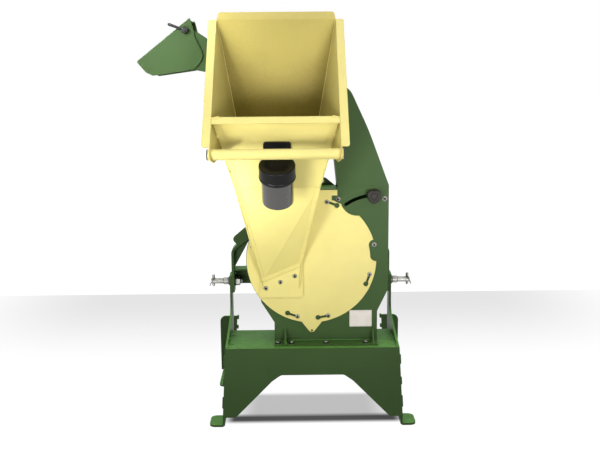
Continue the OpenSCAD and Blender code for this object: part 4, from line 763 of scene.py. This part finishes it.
# darker patches of the floor, each rising and falling over its ranges of x and y: a haze that ends at a line
# behind the object, a painted shadow under its front feet, and painted shade behind them
floorPatches = {
    "haze": {"left": (-2.3, -1.1), "right": (1.0, 2.2), "near": (0.05, 1.5), "far": (1.61, 1.62),
             "depth": 0.28},
    "band": {"left": (-0.345, -0.29), "right": (0.30, 0.365), "near": (-0.29, -0.25),
             "far": (-0.225, -0.185), "depth": 0.95},
    "shade": {"left": (-0.36, -0.2), "right": (0.2, 0.38), "near": (-0.23, -0.2), "far": (-0.02, 0.03),
              "depth": 0.5},
}


def studioWorld(g):
    # one strength of white lights the object, the other is what the camera and the mirrors see
    world = bpy.data.worlds.new("paleStudio")
    bpy.context.scene.world = world
    world.use_nodes = True
    tree = world.node_tree
    tree.nodes.clear()
    path, mix, out = (tree.nodes.new("ShaderNode" + kind)
                      for kind in ("LightPath", "MixShader", "OutputWorld"))
    seen = path.outputs["Is Camera Ray"]
    for kind in ("Transmission", "Glossy"):
        either = tree.nodes.new("ShaderNodeMath")
        either.operation = "MAXIMUM"
        tree.links.new(seen, either.inputs[0])
        tree.links.new(path.outputs["Is " + kind + " Ray"], either.inputs[1])
        seen = either.outputs[0]
    tree.links.new(seen, mix.inputs[0])
    for slot, strength in ((1, g["world"]), (2, g["seen"])):
        sky = tree.nodes.new("ShaderNodeBackground")
        sky.inputs["Color"].default_value = (1, 1, 1, 1)
        sky.inputs["Strength"].default_value = strength
        tree.links.new(sky.outputs[0], mix.inputs[slot])
    tree.links.new(mix.outputs[0], out.inputs["Surface"])


def addLamp(name, place, target, size, power, spread):
    data = bpy.data.lights.new(name, "AREA")
    data.shape, data.size, data.energy, data.spread = "DISK", size, power, radians(spread)
    lamp = bpy.data.objects.new(name, data)
    lamp.location = place
    lamp.rotation_euler = (Vector(target) - Vector(place)).to_track_quat("-Z", "Y").to_euler()
    bpy.context.scene.collection.objects.link(lamp)


def addFloor(g):
    # white paper to the camera, and a plain dark surface to the light that bounces onto the object
    f = Finish("paperFloor")
    x, y, _ = f.parts(f.place)

    def patch(p):
        across = x.between(*p["left"]) * (1 - x.between(*p["right"]))
        return across * y.between(*p["near"]) * (1 - y.between(*p["far"])) * p["depth"]

    haze, band, shade = (1 - patch(p) for p in floorPatches.values())
    lit = haze * band * shade
    tone = f.add("ShaderNodeCombineXYZ", {}, {0: lit, 1: lit, 2: lit})
    paper = f.add("ShaderNodeBsdfDiffuse", {}, {"Color": (g["floorPaper"],) * 3 + (1,)})
    glow = f.add("ShaderNodeEmission", {}, {"Color": tone, "Strength": g["floorGlow"]})
    camera, glossy, through = (f.add("ShaderNodeLightPath", {}, {}, "Is " + kind + " Ray")
                               for kind in ("Camera", "Glossy", "Transmission"))
    seen = camera.maths("MAXIMUM", camera.maths("MAXIMUM", camera, glossy), through)
    both = f.add("ShaderNodeAddShader", {}, {0: paper, 1: glow})
    plain = f.add("ShaderNodeBsdfDiffuse", {}, {"Color": (g["floorTone"],) * 3 + (1,)})
    data = bpy.data.meshes.new("floor")
    data.from_pydata([(-40, -40, 0), (40, -40, 0), (40, 60, 0), (-40, 60, 0)], [], [(0, 1, 2, 3)])
    data.materials.append(f.surface(f.add("ShaderNodeMixShader", {}, {0: seen, 1: plain, 2: both})))
    floor = bpy.data.objects.new("floor", data)
    bpy.context.scene.collection.objects.link(floor)
    floor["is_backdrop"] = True


studioWorld(studio)
for name, settings in lamps.items():
    addLamp(name, *settings)
addFloor(studio)
print("studio done")

low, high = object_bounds()
